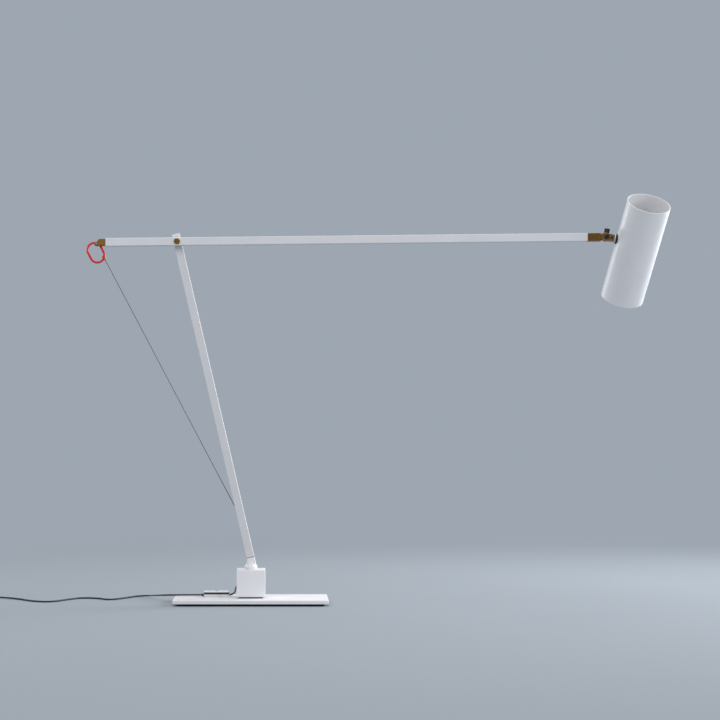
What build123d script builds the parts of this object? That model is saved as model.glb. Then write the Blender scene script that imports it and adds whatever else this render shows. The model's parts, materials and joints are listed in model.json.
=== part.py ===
from build123d import *
import os
from math import cos, dist, radians, sin, sqrt, tan

# Counterweight balance desk lamp, in millimetres. +Z is up, +X runs along the arm
# towards the lamp head, and +Y runs away from the viewer. The origin is the centre
# of the face that the base rests on.

os.makedirs("parts", exist_ok=True)

# ---------------------------------------------------------------- driving sizes
# base
plate_length = 320.0
plate_depth = 140.0
plate_thickness = 8.0
plate_corner = 2.0
edge_break = 0.8
pad_thickness = 4.5
pad_inset = 9.0
spacer_margin = 5.0
spacer_corner = 2.0
spacer_height = 3.0
cube_size = 59.0
cube_height = 56.0
cube_edge = 0.8
cube_screw_spacing = 40.0
cube_screw_radius = 2.5
cube_screw_head = 5.0
cube_screw_length = 28.0
screw_clearance = 0.2
cavity_radius = 17.0
cavity_depth = 31.0

# swivel between the cube and the stem
spindle_radius = 6.0
running_clearance = 0.05
bush_wall = 3.0
bush_flange_radius = 12.0
bush_flange = 1.5
bush_proud = 0.5
washer_thickness = 1.5
spindle_nut_flats = 19.0
spindle_nut_height = 6.0
spindle_tail = 2.0
lead_bore = 3.0

# foot and stem
foot_radius = 13.3
foot_rim = 5.5
foot_shoulder = 1.5
foot_neck_radius = 9.3
foot_neck_height = 16.5
foot_flare_radius = 22.0
axis_crossing_height = 18.6
stem_lean = 13.04
tube_side = 16.5
tube_wall = 1.2
tube_corner = 1.2
spigot_clearance = 0.1
spigot_length = 12.0
spigot_corner = 0.8
spigot_mouth = 4.6
joint_start = 5.0
joint_gap = 1.2
pivot_distance = 678.4
stem_above_pivot = 16.5
cap_thickness = 1.6

# balance spring and its carriage, inside the stem
carriage_clearance = 0.2
carriage_above = 58.0
carriage_below = 12.0
nipple_rise = 104.8
nipple_radius = 1.1
nipple_length = 4.4
nipple_offset = 4.8
nipple_back = 0.65
pocket_clearance = 0.4
pocket_play = 2.9
groove_back_wall = 0.7
groove_width = 3.2
groove_height = 46.0
spring_length = 230.0
spring_radius = 4.6
spring_wire = 1.1
spring_offset = 1.2
spring_end_gap = 0.3
seat_height = 10.0
seat_screw_radius = 2.0
slot_below = 26.0
slot_above = 100.0
lead_radius = 1.2
lead_sides = 6
lead_corner = 4.6
lead_bend = 12.0
lead_pin_bend = 2.4
lead_arm_bend = 4.2
lead_step = 22.0
lead_leaves = 36.0
lead_centred = 16.0
lead_end_gap = 2.0

# arm
spacer_gap = 1.0
arm_rise = 0.6
arm_to_head = 850.0
arm_to_tail = 148.0
pin_radius = 5.0
pin_head_radius = 6.2
pin_head = 2.4
pin_bore = 3.2
pin_end = 1.0
pin_washer_radius = 7.4
pin_nut_flats = 13.0
pin_nut_height = 5.0
window_width = 6.3
pin_window = 6.4
plug_depth = 20.0

# tail wedge and tension link
wedge_length = 23.5
wedge_top = 13.2
wedge_tip = 2.3
wedge_chamfer = 1.5
eye_reach = 19.0
eye_drop = 2.6
eye_pin_radius = 1.3
eye_play = 0.14
eye_slot_clearance = 0.4
eye_slot_depth = 19.5
link_rod = 2.4
link_break = 1.3
link_length = 30.6
link_bow = 10.0
link_half_width = 14.6
link_half_height = 21.0
link_eye_radius = 4.0
link_lug_radius = 3.6
link_lug_drop = 2.6
ferrule_radius = 1.6
ferrule_length = 9.0
wire_radius = 0.6

# head joint
head_plug_length = 27.5
hinge_gap = 12.0
fork_width = 15.0
fork_half_height = 6.9
fork_tail_radius = 11.3
fork_front = 16.5
fork_boss_radius = 8.3
fork_boss_proud = 0.8
tongue_width = 5.0
tongue_half_height = 6.3
fork_slot_clearance = 0.15
fork_slot_front = 8.8
hinge_pin_radius = 3.0
hinge_head_radius = 5.3
hinge_head = 3.4
hinge_nut_height = 3.0
lock_screw_radius = 2.3
lock_screw_head = 1.2
lock_screw_place = 11.6
knob_boss_radius = 4.6
knob_boss_height = 9.2
fork_roof = 7.4
knob_shank_radius = 1.9
knob_radius = 5.6
knob_height = 8.2
knob_gap = 0.3
shank_gap = 0.8
knob_flutes = 12
knob_edge = 0.3
stub_tilt = 9.0
stub_radius = 4.0
stub_bore = 2.2
groove_depth = 0.8
groove_side = 0.2
ring_radius = 9.3
ring_thickness = 2.0
saddle_radius = 10.0
stub_nut_flats = 13.0
stub_nut_height = 5.0

# lamp head
wall_distance = 22.5
head_radius = 44.5
head_wall = 1.5
head_above = 89.0
head_below = 131.5
head_lean = 34.0
inner_saddle_radius = 8.0
inner_saddle_face = 4.0
sink_top = 22.0
sink_height = 36.0
sink_disc = 4.0
sink_hub_radius = 11.0
sink_fins = 20
fin_thickness = 1.6
sink_clearance = 0.3
lead_hole_place = 16.0
board_radius = 20.0
board_thickness = 1.6
chip_radius = 9.0
chip_thickness = 1.2
reflector_throat = 12.0
reflector_mouth = 39.5
reflector_depth = 38.0
reflector_wall = 1.2
diffuser_radius = 42.0
diffuser_thickness = 2.0
retainer_bore = 38.5
retainer_height = 3.0

# in-line dimmer
dimmer_length = 53.6
dimmer_width = 25.0
dimmer_place = (-72.4, 20.5)
dimmer_corner = 6.0
dimmer_wall = 1.6
dimmer_base_height = 5.0
dimmer_band_height = 4.2
dimmer_cover_height = 2.0
dimmer_band_inset = 0.5
button_radius = 2.4
button_proud = 0.9
button_flange = 0.8
button_travel = 0.6
board_lift = 0.8
board_length = 42.0
board_width = 17.0
relief_length = 5.0
relief_radius = 2.6

# cable
cord_radius = 1.7
cord_sides = 8
gland_height = 34.0
gland_flange_radius = 5.0
gland_flange = 2.5
gland_neck = 6.0
gland_body_radius = 3.6
coil_center = (-600.0, 77.2)
coil_inner_radius = 17.0
coil_height = 3.0
coil_pitch = 4.6
coil_rise = 4.2
coil_layers = 4
coil_halves = 4
coil_sides = 6
gap_samples = 48
tie_thickness = 0.8
tie_width = 8.0
tie_gap = 0.3
tie_slack = 0.8
plug_run = 30.0
plug_length = 40.0
plug_width = 30.0
plug_round = 4.0
plug_neck = 12.0
plug_neck_radius = 4.0
pin_spacing = 18.6
plug_pin_radius = 2.0
plug_pin_length = 19.0

# ------------------------------------------------------------- heights and frames
plate_bottom = pad_thickness
plate_top = plate_bottom + plate_thickness
cube_bottom = plate_top + spacer_height
cube_top = cube_bottom + cube_height
foot_bottom = cube_top + bush_proud + running_clearance
crossing_height = foot_bottom + axis_crossing_height
bore_half = tube_side / 2 - tube_wall
tube_start = joint_start + joint_gap
tube_end = pivot_distance + stem_above_pivot

# Up the stem, from the point where its leaning axis crosses the swivel axis.
stem_up = Vector(-sin(radians(stem_lean)), 0, cos(radians(stem_lean)))
stem_side = Vector(cos(radians(stem_lean)), 0, sin(radians(stem_lean)))
stem_frame = Plane(origin=(0, 0, crossing_height), x_dir=stem_side, z_dir=stem_up)

# Along the arm, from the pivot. The arm passes in front of the stem.
arm_offset = tube_side + spacer_gap
pivot_point = Vector(0, 0, crossing_height) + stem_up * pivot_distance
arm_along = Vector(cos(radians(arm_rise)), 0, sin(radians(arm_rise)))
arm_up = Vector(-sin(radians(arm_rise)), 0, cos(radians(arm_rise)))
arm_origin = pivot_point - Vector(0, arm_offset, 0)
arm_frame = Plane(origin=arm_origin, x_dir=arm_along, z_dir=arm_up)

# Along the wire, from the link's eye down to the nipple in the carriage.
eye_point = arm_origin - arm_along * (arm_to_tail + eye_reach) - arm_up * eye_drop
nipple_point = (
    Vector(0, nipple_back, crossing_height)
    + stem_up * nipple_rise
    - stem_side * nipple_offset
)
wire_length = (eye_point - nipple_point).length
wire_up = (eye_point - nipple_point).normalized()
wire_side = Vector(0, 1, 0).cross(wire_up).normalized()
wire_frame = Plane(origin=eye_point, x_dir=wire_side, z_dir=wire_up)

# Along the stub that carries the head, from the tilt hinge.
hinge_point = arm_origin + arm_along * (arm_to_head + head_plug_length + hinge_gap)
stub_along = Vector(cos(radians(stub_tilt)), 0, -sin(radians(stub_tilt)))
stub_up = Vector(sin(radians(stub_tilt)), 0, cos(radians(stub_tilt)))
joint_frame = Plane(origin=hinge_point, x_dir=stub_along, z_dir=stub_up)

# The head's own axis, leaning towards the viewer.
head_center = wall_distance + head_radius
head_axis = stub_up * cos(radians(head_lean)) - Vector(0, 1, 0) * sin(radians(head_lean))
head_frame = Plane(
    origin=hinge_point + stub_along * head_center, x_dir=stub_along, z_dir=head_axis
)


def finish(piece, label, frame=Plane.XY):
    """Put a piece that was drawn in its own frame in its place, and write it."""
    piece.part.locate(frame.location)
    piece.part.label = label
    export_step(piece.part, f"parts/{label}.step")


def ring(radius, bore, thickness, plane):
    """A flat washer that starts on a plane."""
    with BuildPart() as washer:
        with BuildSketch(plane):
            Circle(radius)
            Circle(bore, mode=Mode.SUBTRACT)
        extrude(amount=thickness)
    return washer


def hex_nut(flats, bore, height, plane):
    """A hexagon nut that starts on a plane, with its outer corners turned off."""
    with BuildPart() as nut:
        with BuildSketch(plane):
            RegularPolygon(flats / 2, 6, major_radius=False)
            Circle(bore, mode=Mode.SUBTRACT)
        extrude(amount=height)
        with BuildSketch(plane):
            Circle(flats / sqrt(3) - 0.4)
        extrude(amount=height, mode=Mode.INTERSECT)
    return nut


# ------------------------------------------------------------------------- base
with BuildPart() as base_pad:
    with BuildSketch():
        RectangleRounded(plate_length - 2 * pad_inset, plate_depth - 2 * pad_inset, 4)
    extrude(amount=pad_thickness)
finish(base_pad, "base_pad")

sink_depth = cube_screw_head - cube_screw_radius
spacer_size = cube_screw_spacing + 2 * spacer_margin


def screw_places(height=0.0):
    """The four places of the screws that hold the cube, at a height."""
    half = cube_screw_spacing / 2
    return Locations(*[(x, y, height) for x in (-half, half) for y in (-half, half)])


with BuildPart() as base_plate:
    with BuildSketch(Plane.XY.offset(plate_bottom)):
        RectangleRounded(plate_length, plate_depth, plate_corner)
    extrude(amount=plate_thickness)
    chamfer(base_plate.edges().group_by(Axis.Z)[-1], edge_break)
    chamfer(base_plate.edges().group_by(Axis.Z)[0], edge_break)
    with screw_places(plate_bottom):
        Cone(
            cube_screw_head + screw_clearance,
            cube_screw_radius + screw_clearance,
            sink_depth,
            align=(Align.CENTER, Align.CENTER, Align.MIN),
            mode=Mode.SUBTRACT,
        )
    with BuildSketch(Plane.XY.offset(plate_bottom)):
        with screw_places():
            Circle(cube_screw_radius + screw_clearance)
    extrude(amount=plate_thickness, mode=Mode.SUBTRACT)
finish(base_plate, "base_plate")

with BuildPart() as cube_spacer:
    with BuildSketch(Plane.XY.offset(plate_top)):
        RectangleRounded(spacer_size, spacer_size, spacer_corner)
        with screw_places():
            Circle(cube_screw_radius + screw_clearance, mode=Mode.SUBTRACT)
    extrude(amount=spacer_height)
finish(cube_spacer, "cube_spacer")

bush_radius = spindle_radius + running_clearance + bush_wall
flange_seat = cube_top + bush_proud - bush_flange
web_bottom = cube_bottom + cavity_depth
gland_plane = Plane(
    origin=(0, cube_size / 2, gland_height), x_dir=(-1, 0, 0), z_dir=(0, 1, 0)
)

with BuildPart() as base_cube:
    with BuildSketch(Plane.XY.offset(cube_bottom)):
        Rectangle(cube_size, cube_size)
    extrude(amount=cube_height)
    chamfer(base_cube.edges(), cube_edge)
    with BuildSketch(Plane.XY.offset(cube_bottom)):
        Circle(cavity_radius)
        with screw_places():
            Circle(cube_screw_radius)
    extrude(amount=cavity_depth, mode=Mode.SUBTRACT)
    with BuildSketch(Plane.XY.offset(web_bottom)):
        Circle(bush_radius)
    extrude(amount=cube_height, mode=Mode.SUBTRACT)
    with BuildSketch(Plane.XY.offset(flange_seat)):
        Circle(bush_flange_radius + 0.1)
    extrude(amount=bush_flange, mode=Mode.SUBTRACT)
    with BuildSketch(gland_plane):
        Circle(gland_body_radius)
    extrude(amount=-(cube_size / 2 - cavity_radius / 2), mode=Mode.SUBTRACT)
finish(base_cube, "base_cube")

with BuildPart() as cube_screws:
    with screw_places(plate_bottom):
        Cone(
            cube_screw_head,
            cube_screw_radius,
            sink_depth,
            align=(Align.CENTER, Align.CENTER, Align.MIN),
        )
    with BuildSketch(Plane.XY.offset(plate_bottom + sink_depth)):
        with screw_places():
            Circle(cube_screw_radius)
    extrude(amount=cube_screw_length - sink_depth)
finish(cube_screws, "cube_screws")

with BuildPart() as swivel_bush:
    with BuildSketch(Plane.XY.offset(web_bottom)):
        Circle(bush_radius)
    extrude(amount=flange_seat - web_bottom)
    with BuildSketch(Plane.XY.offset(flange_seat)):
        Circle(bush_flange_radius)
    extrude(amount=bush_flange)
    with BuildSketch(Plane.XY.offset(web_bottom)):
        Circle(spindle_radius + running_clearance)
    extrude(amount=cube_height, mode=Mode.SUBTRACT)
finish(swivel_bush, "swivel_bush")

with BuildPart() as cable_gland:
    with BuildSketch(gland_plane):
        Circle(gland_flange_radius)
    extrude(amount=gland_flange)
    with BuildSketch(gland_plane.offset(gland_flange)):
        Circle(gland_body_radius)
    with BuildSketch(gland_plane.offset(gland_flange + gland_neck)):
        Circle(cord_radius + 0.8)
    loft()
    with BuildSketch(gland_plane):
        Circle(gland_body_radius - running_clearance)
    extrude(amount=-(cube_size / 2 - cavity_radius))
finish(cable_gland, "cable_gland")

# --------------------------------------------------------------- foot and swivel
spigot_side = 2 * (bore_half - spigot_clearance)
nut_top = web_bottom - running_clearance - washer_thickness
spindle_end = nut_top - spindle_nut_height - spindle_tail

with BuildPart() as stem_foot:
    # Turned collar: an upright rim, a rounded shoulder and a hollow curve to the neck.
    with BuildSketch(Plane.XZ):
        with BuildLine():
            rim_foot = Line((0, foot_bottom), (foot_radius, foot_bottom))
            rim_side = Line(rim_foot @ 1, (foot_radius, foot_bottom + foot_rim))
            shoulder = Line(
                rim_side @ 1,
                (foot_radius - foot_shoulder, foot_bottom + foot_rim + foot_shoulder),
            )
            flare = RadiusArc(
                shoulder @ 1,
                (foot_neck_radius, foot_bottom + foot_neck_height),
                foot_flare_radius,
            )
            Polyline(
                flare @ 1, (0, foot_bottom + foot_neck_height), (0, foot_bottom)
            )
        make_face()
    revolve(axis=Axis.Z)
    with BuildSketch(stem_frame.offset(-axis_crossing_height / 2)):
        RectangleRounded(tube_side, tube_side, tube_corner)
    extrude(amount=axis_crossing_height / 2 + joint_start)
    with BuildSketch(stem_frame.offset(joint_start)):
        RectangleRounded(spigot_side, spigot_side, spigot_corner)
    extrude(amount=joint_gap + spigot_length)
    with BuildSketch(Plane.XY.offset(spindle_end)):
        Circle(spindle_radius)
    extrude(amount=foot_bottom - spindle_end)
    # The lead's way through: straight up the spindle, then along the stem.
    with BuildSketch(Plane.XY.offset(spindle_end)):
        Circle(lead_bore)
    extrude(amount=crossing_height - spindle_end + 1, mode=Mode.SUBTRACT)
    with BuildSketch(stem_frame):
        Circle(lead_bore)
    extrude(amount=joint_start + joint_gap + spigot_length, mode=Mode.SUBTRACT)
    with BuildSketch(stem_frame.offset(joint_start + joint_gap)):
        Circle(spigot_mouth)
    extrude(amount=spigot_length, mode=Mode.SUBTRACT)
finish(stem_foot, "stem_foot")

swivel_washer = ring(
    spindle_nut_flats / 2 + 1,
    spindle_radius + running_clearance,
    washer_thickness,
    Plane.XY.offset(nut_top),
)
finish(swivel_washer, "swivel_washer")

spindle_nut = hex_nut(
    spindle_nut_flats,
    spindle_radius,
    spindle_nut_height,
    Plane.XY.offset(nut_top - spindle_nut_height),
)
finish(spindle_nut, "spindle_nut")

# ------------------------------------------------------------------------- stem
carriage_top = nipple_rise + carriage_above
seat_bottom = carriage_top + spring_length + 2 * spring_end_gap
slot_center = nipple_rise + (slot_above - slot_below) / 2
stem_face = Plane.XZ
stem_back = Plane(origin=(0, tube_side / 2, 0), x_dir=(-1, 0, 0), z_dir=(0, 1, 0))

with BuildPart() as stem_tube:
    with BuildSketch(Plane.XY.offset(tube_start)):
        RectangleRounded(tube_side, tube_side, tube_corner)
        RectangleRounded(2 * bore_half, 2 * bore_half, tube_corner / 2, mode=Mode.SUBTRACT)
    extrude(amount=tube_end - tube_start)
    with BuildSketch(stem_face):
        with Locations((0, pivot_distance)):
            Circle(pin_radius + running_clearance)
    extrude(amount=tube_side, both=True, mode=Mode.SUBTRACT)
    # The wire's long slot in the wall that faces the arm's tail.
    with BuildSketch(Plane.YZ.offset(-tube_side / 2 - tube_wall)):
        with Locations((0, slot_center)):
            SlotOverall(slot_above + slot_below, groove_width, rotation=90)
    extrude(amount=3 * tube_wall, mode=Mode.SUBTRACT)
    with BuildSketch(stem_back):
        with Locations((0, seat_bottom + seat_height / 2)):
            Circle(seat_screw_radius + running_clearance)
    extrude(amount=-2 * tube_wall, mode=Mode.SUBTRACT)
finish(stem_tube, "stem_tube", stem_frame)

with BuildPart() as stem_cap:
    with BuildSketch(Plane.XY.offset(tube_end)):
        RectangleRounded(tube_side, tube_side, tube_corner)
    extrude(amount=cap_thickness)
    chamfer(stem_cap.edges().group_by(Axis.Z)[-1], edge_break)
    with BuildSketch(Plane.XY.offset(tube_end)):
        RectangleRounded(spigot_side, spigot_side, spigot_corner)
    extrude(amount=-5)
finish(stem_cap, "stem_cap", stem_frame)


def slide_section(side):
    """The square section of a piece that fills the stem's bore, less the lead's corner."""
    corner = lead_corner - lead_radius - 0.4
    with BuildSketch() as section:
        RectangleRounded(side, side, spigot_corner)
        with Locations((corner, corner)):
            Rectangle(side, side, align=(Align.MIN, Align.MIN), mode=Mode.SUBTRACT)
    return section.sketch


with BuildPart() as wire_carriage:
    carriage_side = 2 * (bore_half - carriage_clearance)
    with BuildSketch(Plane.XY.offset(nipple_rise - carriage_below)):
        add(slide_section(carriage_side))
    extrude(amount=carriage_below + carriage_above)
    # Groove for the wire, open towards the slot, and the nipple's wider pocket.
    with BuildSketch(Plane.XY.offset(nipple_rise - carriage_below / 2)):
        with Locations((-carriage_side / 2, 0)):
            Rectangle(
                carriage_side - groove_back_wall,
                groove_width,
                align=(Align.MIN, Align.CENTER),
            )
    extrude(amount=carriage_below / 2 + groove_height, mode=Mode.SUBTRACT)
    with BuildSketch(Plane.XY.offset(nipple_rise - carriage_below / 2)):
        with Locations((-carriage_side / 2, 0)):
            Rectangle(
                carriage_side - groove_back_wall,
                nipple_length + 2 * (nipple_back + pocket_clearance),
                align=(Align.MIN, Align.CENTER),
            )
    extrude(
        amount=carriage_below / 2 + nipple_radius + pocket_play, mode=Mode.SUBTRACT
    )
finish(wire_carriage, "wire_carriage", stem_frame)

spring_plane = Plane(
    origin=(-spring_offset, -spring_offset, carriage_top + spring_end_gap)
)
balance_spring = ring(spring_radius, spring_radius - spring_wire, spring_length, spring_plane)
finish(balance_spring, "balance_spring", stem_frame)

with BuildPart() as spring_seat:
    with BuildSketch(Plane.XY.offset(seat_bottom)):
        add(slide_section(spigot_side))
    extrude(amount=seat_height)
    with BuildSketch(stem_back.offset(-tube_wall - 0.1)):
        with Locations((0, seat_bottom + seat_height / 2)):
            Circle(seat_screw_radius)
    extrude(amount=-6, mode=Mode.SUBTRACT)
finish(spring_seat, "spring_seat", stem_frame)

with BuildPart() as seat_screw:
    with BuildSketch(stem_back):
        with Locations((0, seat_bottom + seat_height / 2)):
            Circle(seat_screw_radius)
    extrude(amount=-tube_wall - 5)
    with BuildSketch(stem_back):
        with Locations((0, seat_bottom + seat_height / 2)):
            RegularPolygon(seat_screw_radius / 2, 6)
    extrude(amount=-tube_wall, mode=Mode.SUBTRACT)
finish(seat_screw, "seat_screw", stem_frame)

# ------------------------------------------------------------------ pivot and arm
# In the arm's frame the stem stands behind: its front face is one gap behind the arm.
arm_back = tube_side / 2
stem_front = arm_back + spacer_gap
stem_rear = stem_front + tube_side
arm_side_back = Plane(origin=(0, arm_back, 0), x_dir=(-1, 0, 0), z_dir=(0, 1, 0))

with BuildPart() as arm_tube:
    with BuildSketch(Plane.YZ.offset(-arm_to_tail)):
        RectangleRounded(tube_side, tube_side, tube_corner)
        RectangleRounded(2 * bore_half, 2 * bore_half, tube_corner / 2, mode=Mode.SUBTRACT)
    extrude(amount=arm_to_tail + arm_to_head)
    with BuildSketch(Plane.XZ):
        Circle(pin_radius + running_clearance)
    extrude(amount=tube_side, both=True, mode=Mode.SUBTRACT)
finish(arm_tube, "arm_tube", arm_frame)

pin_reach = stem_rear + 2 * spacer_gap + pin_nut_height + pin_end

with BuildPart() as pivot_pin:
    with BuildSketch(arm_side_back.offset(-tube_side)):
        Circle(pin_head_radius)
    extrude(amount=-pin_head)
    chamfer(pivot_pin.edges().group_by(Axis.Y)[0], edge_break)
    with BuildSketch(arm_side_back.offset(-tube_side)):
        Circle(pin_radius)
    extrude(amount=pin_reach + arm_back)
    # Hollow from behind, with a window in the arm and a wider one in the stem.
    with BuildSketch(arm_side_back.offset(-arm_back - pin_bore)):
        Circle(pin_bore)
    extrude(amount=pin_reach + pin_bore, mode=Mode.SUBTRACT)
    with BuildSketch(Plane.YZ):
        with Locations((arm_back / 4, 0)):
            Rectangle(arm_back * 1.4, pin_window)
    extrude(amount=pin_radius + 1, mode=Mode.SUBTRACT)
    stem_window = Plane.XY
    with BuildSketch(stem_window):
        with Locations((0, stem_front + tube_side / 2)):
            Rectangle(window_width, 2 * bore_half - 1)
    extrude(amount=-pin_radius - 1, mode=Mode.SUBTRACT)
finish(pivot_pin, "pivot_pin", arm_frame)

pivot_spacer = ring(
    pin_washer_radius, pin_radius + running_clearance, spacer_gap, arm_side_back
)
finish(pivot_spacer, "pivot_spacer", arm_frame)

behind_stem = arm_side_back.offset(spacer_gap + tube_side)
pivot_washer = ring(
    pin_washer_radius, pin_radius + running_clearance, 2 * spacer_gap, behind_stem
)
finish(pivot_washer, "pivot_washer", arm_frame)

pivot_nut = hex_nut(
    pin_nut_flats, pin_radius, pin_nut_height, behind_stem.offset(2 * spacer_gap)
)
finish(pivot_nut, "pivot_nut", arm_frame)

tail_end = -(arm_to_tail + wedge_length)
eye_slot = 2 * (link_rod + eye_slot_clearance)
eye_place = (-(arm_to_tail + eye_reach), -eye_drop)

with BuildPart() as tail_plug:
    with BuildSketch(Plane.YZ.offset(tail_end)):
        RectangleRounded(spigot_side, spigot_side, spigot_corner)
    extrude(amount=wedge_length + plug_depth)
    with BuildSketch(Plane.XZ):
        with BuildLine():
            Polyline(
                (-arm_to_tail + plug_depth, -spigot_side / 2),
                (-arm_to_tail + plug_depth, spigot_side / 2),
                (-arm_to_tail - wedge_top, spigot_side / 2),
                (tail_end, -spigot_side / 2 + wedge_tip),
                (tail_end + wedge_chamfer, -spigot_side / 2),
                close=True,
            )
        make_face()
    extrude(amount=tube_side, both=True, mode=Mode.INTERSECT)
    # Slot for the link's eye, and the hole of its cross pin.
    with BuildSketch(Plane.XY.offset(-spigot_side)):
        with Locations((tail_end - 1, 0)):
            Rectangle(eye_slot_depth, eye_slot, align=(Align.MIN, Align.CENTER))
    extrude(amount=2 * spigot_side, mode=Mode.SUBTRACT)
    with BuildSketch(Plane.XZ):
        with Locations(eye_place):
            Circle(eye_pin_radius)
    extrude(amount=spigot_side, both=True, mode=Mode.SUBTRACT)
finish(tail_plug, "tail_plug", arm_frame)

with BuildPart() as eye_pin:
    with BuildSketch(Plane.XZ):
        with Locations(eye_place):
            Circle(eye_pin_radius)
    extrude(amount=spigot_side / 2, both=True)
finish(eye_pin, "eye_pin", arm_frame)

shoulder_place = arm_to_head + head_plug_length
hinge_place = shoulder_place + hinge_gap

with BuildPart() as arm_end_plug:
    with BuildSketch(Plane.YZ.offset(arm_to_head)):
        RectangleRounded(tube_side, tube_side, tube_corner)
    extrude(amount=head_plug_length)
    with BuildSketch(Plane.YZ.offset(arm_to_head)):
        RectangleRounded(spigot_side, spigot_side, spigot_corner)
    extrude(amount=-plug_depth)
    # Tongue with a round end on the hinge axis.
    with BuildSketch(Plane.XZ):
        with Locations((hinge_place, 0)):
            Circle(tongue_half_height)
            Rectangle(
                hinge_gap,
                2 * tongue_half_height,
                align=(Align.MAX, Align.CENTER),
            )
    extrude(amount=tongue_width / 2, both=True)
    with BuildSketch(Plane.XZ):
        with Locations((hinge_place, 0)):
            Circle(hinge_pin_radius + running_clearance)
    extrude(amount=tube_side, both=True, mode=Mode.SUBTRACT)
    with BuildSketch(Plane.YZ.offset(arm_to_head - plug_depth)):
        Circle(lead_radius + 0.3)
    extrude(amount=plug_depth + head_plug_length / 2, mode=Mode.SUBTRACT)
finish(arm_end_plug, "arm_end_plug", arm_frame)

# ------------------------------------------------------------- leads in the tubes
lead_meet = stem_front - spacer_gap / 2

with BuildPart() as stem_lead:
    # In the stem's frame: up the spindle, along the bore's corner, into the hollow
    # pin and forward.
    lead_entry = arm_offset - lead_meet
    lead_drop = crossing_height - spindle_end - lead_end_gap
    lead_foot = (-lead_drop * sin(radians(stem_lean)), 0, -lead_drop * cos(radians(stem_lean)))
    lead_turn = tube_start + spigot_length - 8
    lead_down = Vector(*lead_foot).normalized()
    with BuildLine() as stem_lead_route:
        FilletPolyline(
            lead_foot,
            (0, 0, 0),
            (0, 0, lead_turn),
            (lead_corner, lead_corner, lead_turn + lead_step),
            (lead_corner, lead_corner, pivot_distance - lead_leaves),
            (0, 1.0, pivot_distance - lead_centred),
            (0, 1.0, pivot_distance),
            (0, -lead_entry, pivot_distance),
            radius=5 * [lead_bend] + [lead_pin_bend],
        )
    with BuildSketch(Plane(origin=lead_foot, z_dir=-lead_down)):
        RegularPolygon(lead_radius, lead_sides)
    sweep()
finish(stem_lead, "stem_lead", stem_frame)

with BuildPart() as arm_lead:
    with BuildLine() as arm_lead_route:
        FilletPolyline(
            (0, lead_meet, 0),
            (0, 0, 0),
            (arm_to_head + head_plug_length / 2 - lead_end_gap, 0, 0),
            radius=lead_arm_bend,
        )
    with BuildSketch(Plane(origin=(0, lead_meet, 0), z_dir=(0, -1, 0))):
        RegularPolygon(lead_radius, lead_sides)
    sweep()
finish(arm_lead, "arm_lead", arm_frame)

# ---------------------------------------------------------- tension link and wire
link_ferrule = -link_length - link_lug_drop - link_lug_radius

with BuildPart() as tension_link:
    # A flat lacquered hoop with an eye above and a lug for the wire below.
    with BuildSketch(Plane.XZ):
        with Locations((-link_bow, -link_length / 2)):
            SlotOverall(
                2 * (link_half_height + link_rod),
                2 * (link_half_width + link_rod),
                rotation=90,
            )
            SlotOverall(
                2 * (link_half_height - link_rod),
                2 * (link_half_width - link_rod),
                rotation=90,
                mode=Mode.SUBTRACT,
            )
    extrude(amount=link_rod, both=True)
    chamfer(tension_link.edges().filter_by(Plane.XZ), link_break)
    with BuildSketch(Plane.XZ):
        Circle(link_eye_radius)
        with Locations((0, -link_length - link_lug_drop)):
            Circle(link_lug_radius)
    extrude(amount=link_rod, both=True)
    with BuildSketch(Plane.XZ):
        Circle(eye_pin_radius + eye_play)
    extrude(amount=2 * link_rod, both=True, mode=Mode.SUBTRACT)
    with BuildSketch(Plane.XY.offset(link_ferrule)):
        Circle(wire_radius + running_clearance)
    extrude(amount=link_lug_radius + link_lug_drop, mode=Mode.SUBTRACT)
finish(tension_link, "tension_link", wire_frame)

wire_ferrule = ring(
    ferrule_radius, wire_radius, -ferrule_length, Plane.XY.offset(link_ferrule)
)
finish(wire_ferrule, "wire_ferrule", wire_frame)

with BuildPart() as balance_wire:
    with BuildSketch(Plane.XY.offset(-wire_length)):
        Circle(wire_radius)
    extrude(amount=wire_length - link_length)
finish(balance_wire, "balance_wire", wire_frame)

with BuildPart() as wire_nipple:
    with BuildSketch(Plane.XZ):
        with Locations((0, -wire_length)):
            Circle(nipple_radius)
    extrude(amount=nipple_length / 2, both=True)
    with BuildSketch(Plane.XY.offset(-wire_length)):
        Circle(wire_radius)
    extrude(amount=2 * nipple_radius, mode=Mode.SUBTRACT)
finish(wire_nipple, "wire_nipple", wire_frame)

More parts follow.
